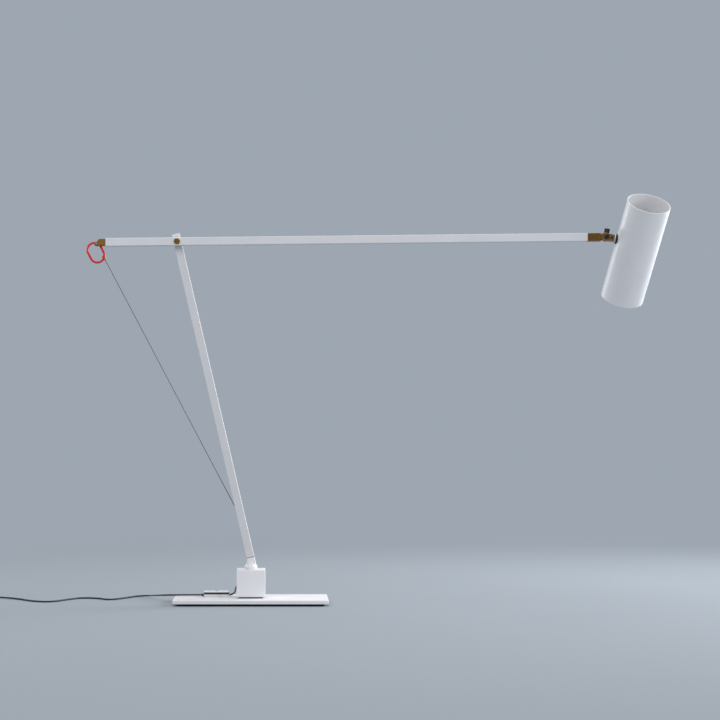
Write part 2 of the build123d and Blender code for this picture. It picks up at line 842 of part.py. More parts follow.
# ------------------------------------------------------------------- head joint
with BuildPart() as head_fork:
    with BuildSketch(Plane.XZ):
        Circle(fork_tail_radius)
        Rectangle(2 * fork_tail_radius, 2 * fork_half_height, mode=Mode.INTERSECT)
        Circle(fork_boss_radius)
        Rectangle(fork_front, 2 * fork_half_height, align=(Align.MIN, Align.CENTER))
    extrude(amount=fork_width / 2, both=True)
    with BuildSketch(Plane.XZ):
        Circle(fork_boss_radius)
    extrude(amount=fork_width / 2 + fork_boss_proud, both=True)
    with BuildSketch():
        Circle(knob_boss_radius)
    extrude(amount=knob_boss_height)
    # Slot for the tongue, open to the rear and below, roofed by the knob's boss.
    slot_half = tongue_width / 2 + fork_slot_clearance
    with BuildSketch(Plane.XZ):
        with Locations((fork_slot_front, fork_roof)):
            Rectangle(
                fork_slot_front + fork_tail_radius + 1,
                fork_roof + fork_tail_radius,
                align=(Align.MAX, Align.MAX),
            )
    extrude(amount=slot_half, both=True, mode=Mode.SUBTRACT)
    with BuildSketch(Plane.XZ):
        Circle(hinge_pin_radius)
    extrude(amount=fork_width, both=True, mode=Mode.SUBTRACT)
    with BuildSketch():
        Circle(knob_shank_radius + running_clearance)
    extrude(amount=knob_boss_height + 1, mode=Mode.SUBTRACT)
    with BuildSketch(Plane.YZ.offset(fork_front)):
        Circle(stub_radius + running_clearance)
    extrude(amount=-(fork_front - fork_slot_front), mode=Mode.SUBTRACT)
    with BuildSketch(Plane.XZ.offset(fork_width / 2)):
        with Locations((lock_screw_place, 0)):
            Circle(lock_screw_radius / 2)
    extrude(amount=-(fork_width / 2 - stub_radius + 1), mode=Mode.SUBTRACT)
finish(head_fork, "head_fork", joint_frame)

fork_face = fork_width / 2 + fork_boss_proud
front_face = Plane(origin=(0, -fork_face, 0), x_dir=(1, 0, 0), z_dir=(0, -1, 0))

with BuildPart() as hinge_screw:
    with BuildSketch(front_face):
        Circle(hinge_head_radius)
    extrude(amount=hinge_head)
    chamfer(hinge_screw.edges().group_by(Axis.Y)[0], 0.5)
    with BuildSketch(front_face.offset(hinge_head)):
        RegularPolygon(hinge_head_radius * 0.45, 6)
    extrude(amount=-hinge_head * 0.6, mode=Mode.SUBTRACT)
    with BuildSketch(front_face):
        Circle(hinge_pin_radius)
    extrude(amount=-(2 * fork_face + hinge_nut_height))
finish(hinge_screw, "hinge_screw", joint_frame)

hinge_nut = hex_nut(
    4 * hinge_pin_radius - 2,
    hinge_pin_radius,
    hinge_nut_height,
    Plane(origin=(0, fork_face, 0), x_dir=(1, 0, 0), z_dir=(0, 1, 0)),
)
finish(hinge_nut, "hinge_nut", joint_frame)

lock_plane = Plane(
    origin=(lock_screw_place, -fork_width / 2, 0), x_dir=(1, 0, 0), z_dir=(0, -1, 0)
)

with BuildPart() as lock_screw:
    with BuildSketch(lock_plane):
        Circle(lock_screw_radius)
    extrude(amount=lock_screw_head)
    with BuildSketch(lock_plane.offset(lock_screw_head)):
        RegularPolygon(lock_screw_radius / 2, 6)
    extrude(amount=-lock_screw_head * 0.6, mode=Mode.SUBTRACT)
    with BuildSketch(lock_plane):
        Circle(lock_screw_radius / 2)
    extrude(amount=-(fork_width / 2 - stub_radius + groove_depth / 2))
finish(lock_screw, "lock_screw", joint_frame)

knob_bottom = knob_boss_height + knob_gap

with BuildPart() as thumb_knob:
    with BuildSketch(Plane.XY.offset(knob_bottom)):
        Circle(knob_radius)
        with PolarLocations(knob_radius + 0.6, knob_flutes):
            Circle(1.0, mode=Mode.SUBTRACT)
    extrude(amount=knob_height)
    chamfer(thumb_knob.faces().sort_by(Axis.Z)[-1].edges(), knob_edge)
    with BuildSketch(Plane.XY.offset(tongue_half_height + shank_gap)):
        Circle(knob_shank_radius)
    extrude(amount=knob_bottom - tongue_half_height - shank_gap)
finish(thumb_knob, "thumb_knob", joint_frame)

# ----------------------------------------------------- stub and lamp head
# In the head's frame the stub lies along X and meets the wall on the -X side.
head_inside = head_radius - head_wall
ring_start = fork_front + running_clearance - head_center
saddle_start = ring_start + ring_thickness
nut_start = -head_inside + inner_saddle_face
stub_start = fork_slot_front + knob_gap - head_center
stub_end = nut_start + stub_nut_height + 2


def across(place):
    """The plane across the stub at a place along it."""
    return Plane.YZ.offset(place)


with BuildPart() as head_stub:
    with BuildSketch(across(stub_start)):
        Circle(stub_radius)
        Circle(stub_bore, mode=Mode.SUBTRACT)
    extrude(amount=stub_end - stub_start)
    # Groove that the lock screw runs in.
    groove_place = lock_screw_place - head_center - lock_screw_radius / 2 - groove_side
    with BuildSketch(across(groove_place)):
        Circle(stub_radius + 1)
        Circle(stub_radius - groove_depth, mode=Mode.SUBTRACT)
    extrude(amount=lock_screw_radius + 2 * groove_side, mode=Mode.SUBTRACT)
finish(head_stub, "head_stub", head_frame)

stub_ring = ring(ring_radius, stub_radius, ring_thickness, across(ring_start))
finish(stub_ring, "stub_ring", head_frame)

with BuildPart() as outer_saddle:
    with BuildSketch(across(saddle_start)):
        Circle(saddle_radius)
        Circle(stub_radius, mode=Mode.SUBTRACT)
    extrude(amount=head_radius)
    Cylinder(head_radius, 4 * saddle_radius, mode=Mode.SUBTRACT)
finish(outer_saddle, "outer_saddle", head_frame)

with BuildPart() as inner_saddle:
    with BuildSketch(across(nut_start)):
        Circle(inner_saddle_radius)
        Circle(stub_radius, mode=Mode.SUBTRACT)
    extrude(amount=-2 * inner_saddle_face)
    Cylinder(head_inside, 4 * inner_saddle_radius, mode=Mode.INTERSECT)
finish(inner_saddle, "inner_saddle", head_frame)

stub_nut = hex_nut(stub_nut_flats, stub_radius, stub_nut_height, across(nut_start))
finish(stub_nut, "stub_nut", head_frame)

with BuildPart() as head_shade:
    with BuildSketch(Plane.XY.offset(-head_below)):
        Circle(head_radius)
        Circle(head_inside, mode=Mode.SUBTRACT)
    extrude(amount=head_below + head_above)
    with BuildSketch(across(-head_radius - 1)):
        Circle(stub_radius)
    extrude(amount=2 * head_wall + 1, mode=Mode.SUBTRACT)
finish(head_shade, "head_shade", head_frame)

sink_bottom = -sink_top - sink_height
reflector_top = sink_bottom - board_thickness
diffuser_top = reflector_top - reflector_depth
retainer_top = diffuser_top - diffuser_thickness

with BuildPart() as heat_sink:
    with BuildSketch(Plane.XY.offset(sink_bottom)):
        Circle(head_inside)
    extrude(amount=sink_disc)
    with BuildSketch(Plane.XY.offset(sink_bottom)):
        Circle(sink_hub_radius)
        fin_reach = head_inside - sink_clearance - 1
        with PolarLocations(fin_reach / 2, sink_fins, start_angle=180 / sink_fins):
            Rectangle(fin_reach, fin_thickness)
    extrude(amount=sink_height)
    with BuildSketch(Plane.XY.offset(sink_bottom)):
        with Locations((-lead_hole_place, 0)):
            Circle(lead_radius + 0.2)
    extrude(amount=sink_height, mode=Mode.SUBTRACT)
finish(heat_sink, "heat_sink", head_frame)

with BuildPart() as led_board:
    with BuildSketch(Plane.XY.offset(reflector_top)):
        Circle(board_radius)
    extrude(amount=board_thickness)
finish(led_board, "led_board", head_frame)

with BuildPart() as led_chip:
    with BuildSketch(Plane.XY.offset(reflector_top)):
        Circle(chip_radius)
    extrude(amount=-chip_thickness)
finish(led_chip, "led_chip", head_frame)

with BuildPart() as reflector:
    with BuildSketch(Plane.XZ):
        with BuildLine():
            Polyline(
                (reflector_throat, reflector_top),
                (reflector_throat + reflector_wall, reflector_top),
                (reflector_mouth + reflector_wall, diffuser_top),
                (reflector_mouth, diffuser_top),
                close=True,
            )
        make_face()
    revolve(axis=Axis.Z)
finish(reflector, "reflector", head_frame)

with BuildPart() as diffuser:
    with BuildSketch(Plane.XY.offset(retainer_top)):
        Circle(diffuser_radius)
    extrude(amount=diffuser_thickness)
finish(diffuser, "diffuser", head_frame)

retainer_ring = ring(
    head_inside, retainer_bore, -retainer_height, Plane.XY.offset(retainer_top)
)
finish(retainer_ring, "retainer_ring", head_frame)

with BuildPart() as head_lead:
    with BuildLine() as head_lead_route:
        FilletPolyline(
            (stub_start + 2, 0, 0), (-lead_hole_place, 0, 0), (-lead_hole_place, 0, sink_bottom),
            radius=8,
        )
    with BuildSketch(across(stub_start + 2)):
        RegularPolygon(lead_radius, lead_sides)
    sweep()
finish(head_lead, "head_lead", head_frame)

# -------------------------------------------------------------------- in-line dimmer
dimmer_x, dimmer_y = dimmer_place
dimmer_floor = plate_top + dimmer_wall
band_bottom = plate_top + dimmer_base_height
cover_bottom = band_bottom + dimmer_band_height
cover_top = cover_bottom + dimmer_cover_height
cord_exit_height = plate_top + relief_radius + 0.5
dimmer_left = dimmer_x - dimmer_length / 2
dimmer_right = dimmer_x + dimmer_length / 2


def dimmer_plane(height):
    """The level plane at a height, centred on the dimmer."""
    return Plane(origin=(dimmer_x, dimmer_y, height))


with BuildPart() as dimmer_base:
    with BuildSketch(dimmer_plane(plate_top)):
        RectangleRounded(dimmer_length, dimmer_width, dimmer_corner)
    extrude(amount=dimmer_base_height)
    with BuildSketch(dimmer_plane(dimmer_floor)):
        RectangleRounded(
            dimmer_length - 2 * dimmer_wall,
            dimmer_width - 2 * dimmer_wall,
            dimmer_corner - dimmer_wall,
        )
    extrude(amount=dimmer_base_height, mode=Mode.SUBTRACT)
    with BuildSketch(Plane.YZ.offset(dimmer_left - 1)):
        with Locations((dimmer_y, cord_exit_height)):
            Circle(cord_radius)
    extrude(amount=dimmer_length + 2, mode=Mode.SUBTRACT)
finish(dimmer_base, "dimmer_base")

with BuildPart() as dimmer_band:
    with BuildSketch(dimmer_plane(band_bottom)):
        RectangleRounded(
            dimmer_length - 2 * dimmer_band_inset,
            dimmer_width - 2 * dimmer_band_inset,
            dimmer_corner - dimmer_band_inset,
        )
        RectangleRounded(
            dimmer_length - 2 * dimmer_wall,
            dimmer_width - 2 * dimmer_wall,
            dimmer_corner - dimmer_wall,
            mode=Mode.SUBTRACT,
        )
    extrude(amount=dimmer_band_height)
finish(dimmer_band, "dimmer_band")

with BuildPart() as dimmer_cover:
    with BuildSketch(dimmer_plane(cover_bottom)):
        RectangleRounded(dimmer_length, dimmer_width, dimmer_corner)
    extrude(amount=dimmer_cover_height)
    chamfer(dimmer_cover.edges().group_by(Axis.Z)[-1], dimmer_cover_height / 2)
    with BuildSketch(dimmer_plane(cover_bottom)):
        Circle(button_radius + running_clearance)
    extrude(amount=dimmer_cover_height, mode=Mode.SUBTRACT)
finish(dimmer_cover, "dimmer_cover")

with BuildPart() as dimmer_button:
    with BuildSketch(dimmer_plane(cover_bottom)):
        Circle(button_radius)
    extrude(amount=dimmer_cover_height + button_proud)
    chamfer(dimmer_button.edges().group_by(Axis.Z)[-1], 0.3)
    with BuildSketch(dimmer_plane(cover_bottom)):
        Circle(button_radius + 1)
    extrude(amount=-button_flange)
finish(dimmer_button, "dimmer_button")

board_bottom = dimmer_floor + board_lift
switch_top = cover_bottom - button_flange - button_travel - 0.2

with BuildPart() as dimmer_board:
    with BuildSketch(dimmer_plane(dimmer_floor)):
        with GridLocations(board_length - 8, board_width - 6, 2, 2):
            Rectangle(2, 2)
    extrude(amount=board_lift)
    with BuildSketch(dimmer_plane(board_bottom)):
        Rectangle(board_length - 6, board_width)
    extrude(amount=board_thickness)
    with BuildSketch(dimmer_plane(board_bottom)):
        Rectangle(6, 6)
    extrude(amount=switch_top - board_bottom)
finish(dimmer_board, "dimmer_board")

with BuildPart() as cord_relief:
    with BuildSketch(Plane.YZ.offset(dimmer_left)):
        with Locations((dimmer_y, cord_exit_height)):
            Circle(relief_radius)
            Circle(cord_radius, mode=Mode.SUBTRACT)
    extrude(amount=-relief_length)
finish(cord_relief, "cord_relief")


# ----------------------------------------------------------------------------- cable
def cord_tube(points, radii, start_plane):
    """A cable along straight runs that are joined by arcs."""
    with BuildPart() as cord:
        with BuildLine():
            FilletPolyline(*points, radius=radii)
        with BuildSketch(start_plane):
            RegularPolygon(cord_radius, cord_sides)
        sweep()
    return cord


def bend_radii(points):
    """Arc radii that use 0.45 of the shorter run at each corner."""
    radii = []
    for before, corner, after in zip(points, points[1:], points[2:]):
        run_in = Vector(*corner) - Vector(*before)
        run_out = Vector(*after) - Vector(*corner)
        half_turn = radians(run_in.get_angle(run_out)) / 2
        radii.append(0.45 * min(run_in.length, run_out.length) / tan(half_turn))
    return radii


gland_end = cube_size / 2 + gland_flange + gland_neck
link_side = -33.8
link_back = 59.0

link_points = [
    (0, gland_end, gland_height),
    (0, link_back, gland_height),
    (link_side, link_back, gland_height - 0.6),
    (link_side, dimmer_y, cord_exit_height),
    (dimmer_right - dimmer_wall - 3, dimmer_y, cord_exit_height),
]
link_cord = cord_tube(
    link_points,
    [9.5, 14.0, 10.0],
    Plane(origin=link_points[0], x_dir=(1, 0, 0), z_dir=(0, 1, 0)),
)
finish(link_cord, "link_cord")

coil_outer_radius = coil_inner_radius + coil_halves * coil_pitch / 2
coil_start = (coil_center[0], coil_center[1] + coil_outer_radius, coil_height)
cord_low = cord_radius + 0.2

supply_points = [
    (dimmer_left + dimmer_wall + 3, dimmer_y, cord_exit_height),
    (-145, dimmer_y, cord_exit_height),
    (-185, 38, 13.4),
    (-207, 84, 8.5),
    (-222, 128, 4.0),
    (-250, 140, cord_low),
    (-270, 100, cord_low),
    (-296, 62, cord_low),
    (-310, 64, cord_low),
    (-325, 88, cord_low),
    (-365, 102, cord_low),
    (-390, 66, cord_low),
    (-418, 10, cord_low),
    (-458, 24, cord_low),
    (-492, 72, cord_low),
    (-541, coil_start[1], coil_height),
    coil_start,
]
supply_radii = bend_radii(supply_points)
print("supply cord radii", [round(radius, 1) for radius in supply_radii])
supply_cord = cord_tube(
    supply_points,
    supply_radii,
    Plane(origin=supply_points[0], x_dir=(0, 1, 0), z_dir=(-1, 0, 0)),
)
finish(supply_cord, "supply_cord")


def coil_turns():
    """Half turns of the hand-wound coil, wound in and out again layer by layer."""
    center_x, center_y = coil_center
    point = Vector(*coil_start)
    radius = coil_outer_radius
    side = 1
    arcs = []
    for layer in range(coil_layers):
        growth = coil_pitch / 2 if layer % 2 else -coil_pitch / 2
        halves = coil_halves + 1 if layer == coil_layers - 1 else coil_halves
        steps = [(growth, 0)] * halves
        if layer < coil_layers - 1:
            steps.append((0, coil_rise))
        for radius_step, rise in steps:
            radius += radius_step
            side = -side
            end = Vector(center_x, center_y + side * radius, point.Z + rise)
            half_way = (point + end) / 2 + Vector(side * (end - point).length / 2, 0, 0)
            arcs.append((point, half_way, end))
            point = end
    return arcs


def least_gap(arcs):
    """The least clear width between turns of the coil, measured on points."""
    points = []
    for arc_start, arc_middle, arc_end in arcs:
        turn = ThreePointArc(arc_start, arc_middle, arc_end)
        points += [tuple(turn @ (step / gap_samples)) for step in range(gap_samples)]
    return min(
        dist(point, other) - 2 * cord_radius
        for index, point in enumerate(points)
        for other in points[index + gap_samples :]
    )


coil_arcs = coil_turns()
coil_end = coil_arcs[-1][2]
print("least gap between turns of the coil", round(least_gap(coil_arcs), 2))

with BuildPart() as cord_coil:
    with BuildLine():
        for arc_start, arc_middle, arc_end in coil_arcs:
            ThreePointArc(arc_start, arc_middle, arc_end)
        plug_face = coil_end - Vector(plug_run, 0, 0)
        Line(coil_end, plug_face)
    with BuildSketch(Plane(origin=coil_start, x_dir=(0, 1, 0), z_dir=(-1, 0, 0))):
        RegularPolygon(cord_radius, coil_sides)
    sweep()
finish(cord_coil, "cord_coil")

tie_inside_left = coil_inner_radius - cord_radius - tie_slack
tie_inside_right = coil_outer_radius + coil_pitch / 4 + cord_radius + tie_slack
tie_inside_low = coil_height - cord_radius - tie_gap
tie_inside_high = coil_end.Z + cord_radius + tie_gap
tie_middle = (
    coil_center[0] + (tie_inside_left + tie_inside_right) / 2,
    (tie_inside_low + tie_inside_high) / 2,
)
tie_span = tie_inside_right - tie_inside_left
tie_rise = tie_inside_high - tie_inside_low

with BuildPart() as cord_tie:
    with BuildSketch(Plane.XZ.offset(-coil_center[1])):
        with Locations(tie_middle):
            RectangleRounded(tie_span + 2 * tie_thickness, tie_rise + 2 * tie_thickness, 2)
            RectangleRounded(tie_span, tie_rise, 2 - tie_thickness, mode=Mode.SUBTRACT)
    extrude(amount=tie_width / 2, both=True)
finish(cord_tie, "cord_tie")

plug_height = 2 * coil_end.Z
plug_plane = Plane(origin=plug_face, x_dir=(0, 1, 0), z_dir=(-1, 0, 0))

with BuildPart() as supply_plug:
    with BuildSketch(plug_plane):
        Circle(cord_radius + 1)
    with BuildSketch(plug_plane.offset(plug_neck)):
        Circle(plug_neck_radius)
    loft()
    with BuildSketch(plug_plane.offset(plug_neck)):
        Rectangle(plug_width, plug_height)
    extrude(amount=plug_length)
    plug_edges = supply_plug.edges().filter_by(Axis.X)
    fillet(plug_edges, plug_round)
finish(supply_plug, "supply_plug")

with BuildPart() as plug_pins:
    with BuildSketch(plug_plane.offset(plug_neck + plug_length)):
        with GridLocations(pin_spacing, 1, 2, 1):
            Circle(plug_pin_radius)
    extrude(amount=plug_pin_length)
finish(plug_pins, "plug_pins")
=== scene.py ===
import json
from math import cos, pi, radians, sin

import bpy
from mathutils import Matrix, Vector


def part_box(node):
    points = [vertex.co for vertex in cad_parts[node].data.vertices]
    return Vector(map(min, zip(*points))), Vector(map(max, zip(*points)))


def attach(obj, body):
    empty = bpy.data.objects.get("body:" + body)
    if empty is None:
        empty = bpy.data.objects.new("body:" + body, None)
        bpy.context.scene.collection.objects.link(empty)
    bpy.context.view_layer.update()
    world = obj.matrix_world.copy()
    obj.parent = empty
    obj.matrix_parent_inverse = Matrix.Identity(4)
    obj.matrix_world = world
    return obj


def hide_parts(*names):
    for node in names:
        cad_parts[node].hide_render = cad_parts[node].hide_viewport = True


bl_info = {
    "name": "Counterweight Balance Desk Lamp",
    "version": (1, 0, 0),
    "blender": (4, 5, 0),
    "location": "3D View > Sidebar > Desk Lamp",
    "description": "Finishes and cables of a balanced desk lamp with a tube head",
    "category": "Object",
}

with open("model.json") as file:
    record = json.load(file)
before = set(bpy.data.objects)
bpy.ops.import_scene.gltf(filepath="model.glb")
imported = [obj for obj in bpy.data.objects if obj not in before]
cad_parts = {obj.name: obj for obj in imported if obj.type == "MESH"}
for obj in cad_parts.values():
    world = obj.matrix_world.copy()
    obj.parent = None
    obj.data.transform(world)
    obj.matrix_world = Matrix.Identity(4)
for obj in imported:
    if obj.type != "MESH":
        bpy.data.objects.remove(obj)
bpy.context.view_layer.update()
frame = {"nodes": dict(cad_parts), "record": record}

MM = 0.001

# Edges sharper than this, in degrees, stay crisp.
SHARP_ANGLE = 35.0

# Colours of the small pieces, which no setting changes.
SHADOW_GREY = (0.10, 0.10, 0.11)
SHEATH_GREY = (0.06, 0.06, 0.065)
BUTTON_GREY = (0.30, 0.30, 0.31)
ROPE_GREY = (0.20, 0.19, 0.17)
TRIM_WHITE = (0.72, 0.72, 0.73)
BUSH_BRONZE = (0.45, 0.27, 0.12)
FIN_ALUMINIUM = (0.62, 0.62, 0.63)
BRIGHT_ALUMINIUM = (0.85, 0.85, 0.86)
PIN_NICKEL = (0.66, 0.64, 0.60)
CHIP_YELLOW = (0.85, 0.62, 0.12)
BOARD_GREEN = (0.02, 0.16, 0.06)
FROST_LOW = (0.86, 0.85, 0.82)
FROST_HIGH = (0.93, 0.92, 0.89)
WARM_LIGHT = (1.0, 0.90, 0.76, 1.0)

# Painted light and shade, as shares of their settings: the one lacquer is lighter on the base
# and darker on the stem and arm than on the head, and the brass is lighter on the head joint.
BASE_PAINTED_LIGHT_SHARE = 1.07
STEM_PAINTED_SHADE_SHARE = 0.88
ARM_PAINTED_SHADE_SHARE = 0.93
JOINT_BRASS_PAINTED_LIGHT_SHARE = 1.45

# Scale of the finishes, in metres.
DUST_PATCH = 0.045
PEEL_DEPTH = 0.00002
BRUSH_LINE = 0.0009
BRUSH_DEPTH = 0.00001
TARNISH_PATCH = 0.009
MOULD_PATCH = 0.02
FROST_GRAIN = 0.0004
FROST_PATCH = 0.03
FROST_DEPTH = 0.00002
PAPER_CLOUD = 0.8

# Round edges, in millimetres: upright corner and rim, or lower and upper rim.
BLOCK_ROUNDS = {"base_plate": (2.0, 0.8), "base_cube": (1.2, 0.9)}
DIMMER_ROUNDS = {"dimmer_base": (0.8, 0.1), "dimmer_cover": (0.1, 1.3)}
DIMMER_CORNER = 6.0
RIM_STEPS = 3


# ---------------------------------------------------------------- user settings
class LampFinishSettings(bpy.types.PropertyGroup):
    """Colours of the lamp's finishes."""

    lacquer_colour: bpy.props.FloatVectorProperty(
        name="Lacquer",
        description="White lacquer of the plate, cube, stem, arm and head",
        subtype="COLOR",
        default=(0.74, 0.74, 0.765),
        min=0.0,
        max=1.0,
    )
    brass_colour: bpy.props.FloatVectorProperty(
        name="Brass",
        description="Aged brass of the plugs, the pivot pin and the head joint",
        subtype="COLOR",
        default=(0.28, 0.14, 0.042),
        min=0.0,
        max=1.0,
    )
    link_colour: bpy.props.FloatVectorProperty(
        name="Link",
        description="Gloss lacquer of the tension link",
        subtype="COLOR",
        default=(0.62, 0.018, 0.012),
        min=0.0,
        max=1.0,
    )
    black_colour: bpy.props.FloatVectorProperty(
        name="Black",
        description="Black metal, plastic and rubber",
        subtype="COLOR",
        default=(0.012, 0.012, 0.014),
        min=0.0,
        max=1.0,
    )
    steel_colour: bpy.props.FloatVectorProperty(
        name="Steel",
        description="Screws, nuts and the balance wire",
        subtype="COLOR",
        default=(0.50, 0.49, 0.47),
        min=0.0,
        max=1.0,
    )
    grain: bpy.props.FloatProperty(
        name="Lacquer grain",
        description="Width of the lacquer's fine orange peel",
        subtype="DISTANCE",
        unit="LENGTH",
        default=0.0012,
        min=0.0002,
        max=0.01,
    )


class LampCableSettings(bpy.types.PropertyGroup):
    """Sizes of the cable."""

    diameter: bpy.props.FloatProperty(
        name="Diameter",
        description="Outside diameter of the cable",
        subtype="DISTANCE",
        unit="LENGTH",
        default=0.0034,
        min=0.002,
        max=0.01,
    )
    supply_length: bpy.props.FloatProperty(
        name="Supply length",
        description="Length of the cable from the dimmer to the plug",
        subtype="DISTANCE",
        unit="LENGTH",
        default=2.08,
        min=0.5,
        max=5.0,
    )
    link_length: bpy.props.FloatProperty(
        name="Link length",
        description="Length of the cable from the cube to the dimmer",
        subtype="DISTANCE",
        unit="LENGTH",
        default=0.0925,
        min=0.05,
        max=1.0,
    )


class LampStageSettings(bpy.types.PropertyGroup):
    """Floor, light and camera."""

    floor_colour: bpy.props.FloatVectorProperty(
        name="Floor",
        description="Colour of the plain floor",
        subtype="COLOR",
        default=(0.30, 0.335, 0.375),
        min=0.0,
        max=1.0,
    )
    sky_colour: bpy.props.FloatVectorProperty(
        name="Backdrop",
        description="Colour behind the lamp",
        subtype="COLOR",
        default=(0.34, 0.385, 0.44),
        min=0.0,
        max=1.0,
    )
    key_power: bpy.props.FloatProperty(
        name="Key light",
        description="Power of the large soft light in front",
        unit="POWER",
        default=41.0,
        min=0.0,
        max=1000.0,
    )
    fill_power: bpy.props.FloatProperty(
        name="Fill light",
        description="Power of the soft light on the right, and with it of the one above",
        unit="POWER",
        default=44.0,
        min=0.0,
        max=1000.0,
    )
    rim_power: bpy.props.FloatProperty(
        name="Rim lights",
        description="Power of the lights behind the lamp that draw its edges",
        unit="POWER",
        default=40.0,
        min=0.0,
        max=1000.0,
    )
    lens: bpy.props.FloatProperty(
        name="Lens",
        description="Focal length of the camera",
        unit="CAMERA",
        default=79.75,
        min=20.0,
        max=300.0,
    )


# ------------------------------------------------------------- finish helpers
def new_material(name):
    """An empty node material with its shader, and its place coordinates in metres."""
    material = bpy.data.materials.new(name)
    material.use_nodes = True
    nodes = material.node_tree.nodes
    shader = nodes["Principled BSDF"]
    place = nodes.new("ShaderNodeTexCoord")
    return material, shader, place


def add_noise(material, place, grain, detail=3.0, stretch=None):
    """Noise whose features are about as wide as grain, in metres."""
    nodes = material.node_tree.nodes
    links = material.node_tree.links
    noise = nodes.new("ShaderNodeTexNoise")
    noise.inputs["Scale"].default_value = 1.0 / grain
    noise.inputs["Detail"].default_value = detail
    source = place.outputs["Object"]
    if stretch is not None:
        mapping = nodes.new("ShaderNodeMapping")
        mapping.inputs["Rotation"].default_value = stretch[0]
        mapping.inputs["Scale"].default_value = stretch[1]
        links.new(source, mapping.inputs["Vector"])
        source = mapping.outputs["Vector"]
    links.new(source, noise.inputs["Vector"])
    return noise.outputs["Fac"]


def add_ramp(material, factor, low, high, start=0.3, end=0.7):
    """A ramp between two colours, driven by a factor."""
    nodes = material.node_tree.nodes
    ramp = nodes.new("ShaderNodeValToRGB")
    ramp.color_ramp.elements[0].position = start
    ramp.color_ramp.elements[0].color = (*low, 1.0)
    ramp.color_ramp.elements[1].position = end
    ramp.color_ramp.elements[1].color = (*high, 1.0)
    material.node_tree.links.new(factor, ramp.inputs["Fac"])
    return ramp.outputs["Color"]


def add_range(material, factor, low, high):
    """A number that runs from low to high with a factor."""
    nodes = material.node_tree.nodes
    span = nodes.new("ShaderNodeMapRange")
    span.inputs["From Min"].default_value = 0.3
    span.inputs["From Max"].default_value = 0.7
    span.inputs["To Min"].default_value = low
    span.inputs["To Max"].default_value = high
    material.node_tree.links.new(factor, span.inputs["Value"])
    return span.outputs["Result"]


def add_bump(material, shader, height, depth):
    """Surface relief of a depth in metres."""
    bump = material.node_tree.nodes.new("ShaderNodeBump")
    bump.inputs["Strength"].default_value = 1.0
    bump.inputs["Distance"].default_value = depth
    links = material.node_tree.links
    links.new(height, bump.inputs["Height"])
    links.new(bump.outputs["Normal"], shader.inputs["Normal"])


def shade(colour, amount):
    """A colour made darker or lighter."""
    return tuple(min(1.0, channel * amount) for channel in colour)


def lacquer(name, colour, grain, gloss=0.42, coat=0.08):
    """Sprayed lacquer: a faint orange peel, and dust that dulls it here and there."""
    material, shader, place = new_material(name)
    peel = add_noise(material, place, grain, detail=2.0)
    dust = add_noise(material, place, DUST_PATCH, detail=5.0)
    tint = add_ramp(material, dust, shade(colour, 0.975), shade(colour, 1.01))
    material.node_tree.links.new(tint, shader.inputs["Base Color"])
    rough = add_range(material, dust, gloss - 0.04, gloss + 0.07)
    material.node_tree.links.new(rough, shader.inputs["Roughness"])
    shader.inputs["Coat Weight"].default_value = coat
    shader.inputs["Coat Roughness"].default_value = 0.12
    add_bump(material, shader, peel, PEEL_DEPTH)
    return material


def brushed_metal(name, colour, roughness, brush, turn=(0.0, 0.0, 0.0), tarnish=0.8):
    """Metal with fine lines along one direction and a soft tarnish."""
    material, shader, place = new_material(name)
    lines = add_noise(material, place, BRUSH_LINE, detail=3.0, stretch=(turn, brush))
    clouds = add_noise(material, place, TARNISH_PATCH, detail=4.0)
    tint = add_ramp(material, clouds, shade(colour, tarnish), shade(colour, 1.1))
    material.node_tree.links.new(tint, shader.inputs["Base Color"])
    rough = add_range(material, lines, roughness - 0.06, roughness + 0.08)
    material.node_tree.links.new(rough, shader.inputs["Roughness"])
    shader.inputs["Metallic"].default_value = 1.0
    add_bump(material, shader, lines, BRUSH_DEPTH)
    return material


def moulded_plastic(name, colour, roughness, texture=0.0006, depth=0.00003):
    """Moulded plastic or rubber with a fine spark-eroded texture."""
    material, shader, place = new_material(name)
    pebble = add_noise(material, place, texture, detail=2.0)
    clouds = add_noise(material, place, MOULD_PATCH, detail=3.0)
    tint = add_ramp(material, clouds, shade(colour, 0.85), shade(colour, 1.15))
    material.node_tree.links.new(tint, shader.inputs["Base Color"])
    rough = add_range(material, clouds, roughness - 0.05, roughness + 0.05)
    material.node_tree.links.new(rough, shader.inputs["Roughness"])
    add_bump(material, shader, pebble, depth)
    return material


def glowing_diffuser(name):
    """Frosted acrylic sheet in front of the light source."""
    material, shader, place = new_material(name)
    frost = add_noise(material, place, FROST_GRAIN, detail=2.0)
    clouds = add_noise(material, place, FROST_PATCH, detail=2.0)
    tint = add_ramp(material, clouds, FROST_LOW, FROST_HIGH)
    material.node_tree.links.new(tint, shader.inputs["Base Color"])
    shader.inputs["Roughness"].default_value = 0.45
    shader.inputs["Transmission Weight"].default_value = 0.35
    shader.inputs["Emission Color"].default_value = WARM_LIGHT
    shader.inputs["Emission Strength"].default_value = 0.35
    add_bump(material, shader, frost, FROST_DEPTH)
    return material


def finish_nodes(material, *names):
    """Give CAD nodes a finish in place of their plain one."""
    for name in names:
        node = frame["nodes"][name]
        node.data.materials.clear()
        node.data.materials.append(material)
        smooth_by_angle(node.data)


def smooth_by_angle(mesh):
    """Round faces shade smoothly, and sharper edges stay crisp."""
    for polygon in mesh.polygons:
        polygon.use_smooth = True
    mesh.set_sharp_from_angle(angle=radians(SHARP_ANGLE))


# ---------------------------------------------------------------- shape helpers
def mesh_piece(name, vertices, faces, material, slot, body, *stands_for):
    """A piece in mesh code, in metres, on a body, in place of any CAD nodes named."""
    mesh = bpy.data.meshes.new(name)
    mesh.from_pydata(vertices, [], faces)
    mesh.materials.append(material)
    smooth_by_angle(mesh)
    piece = bpy.data.objects.new(name, mesh)
    bpy.context.scene.collection.objects.link(piece)
    if stands_for:
        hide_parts(*stands_for)
    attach(piece, body)
    return piece


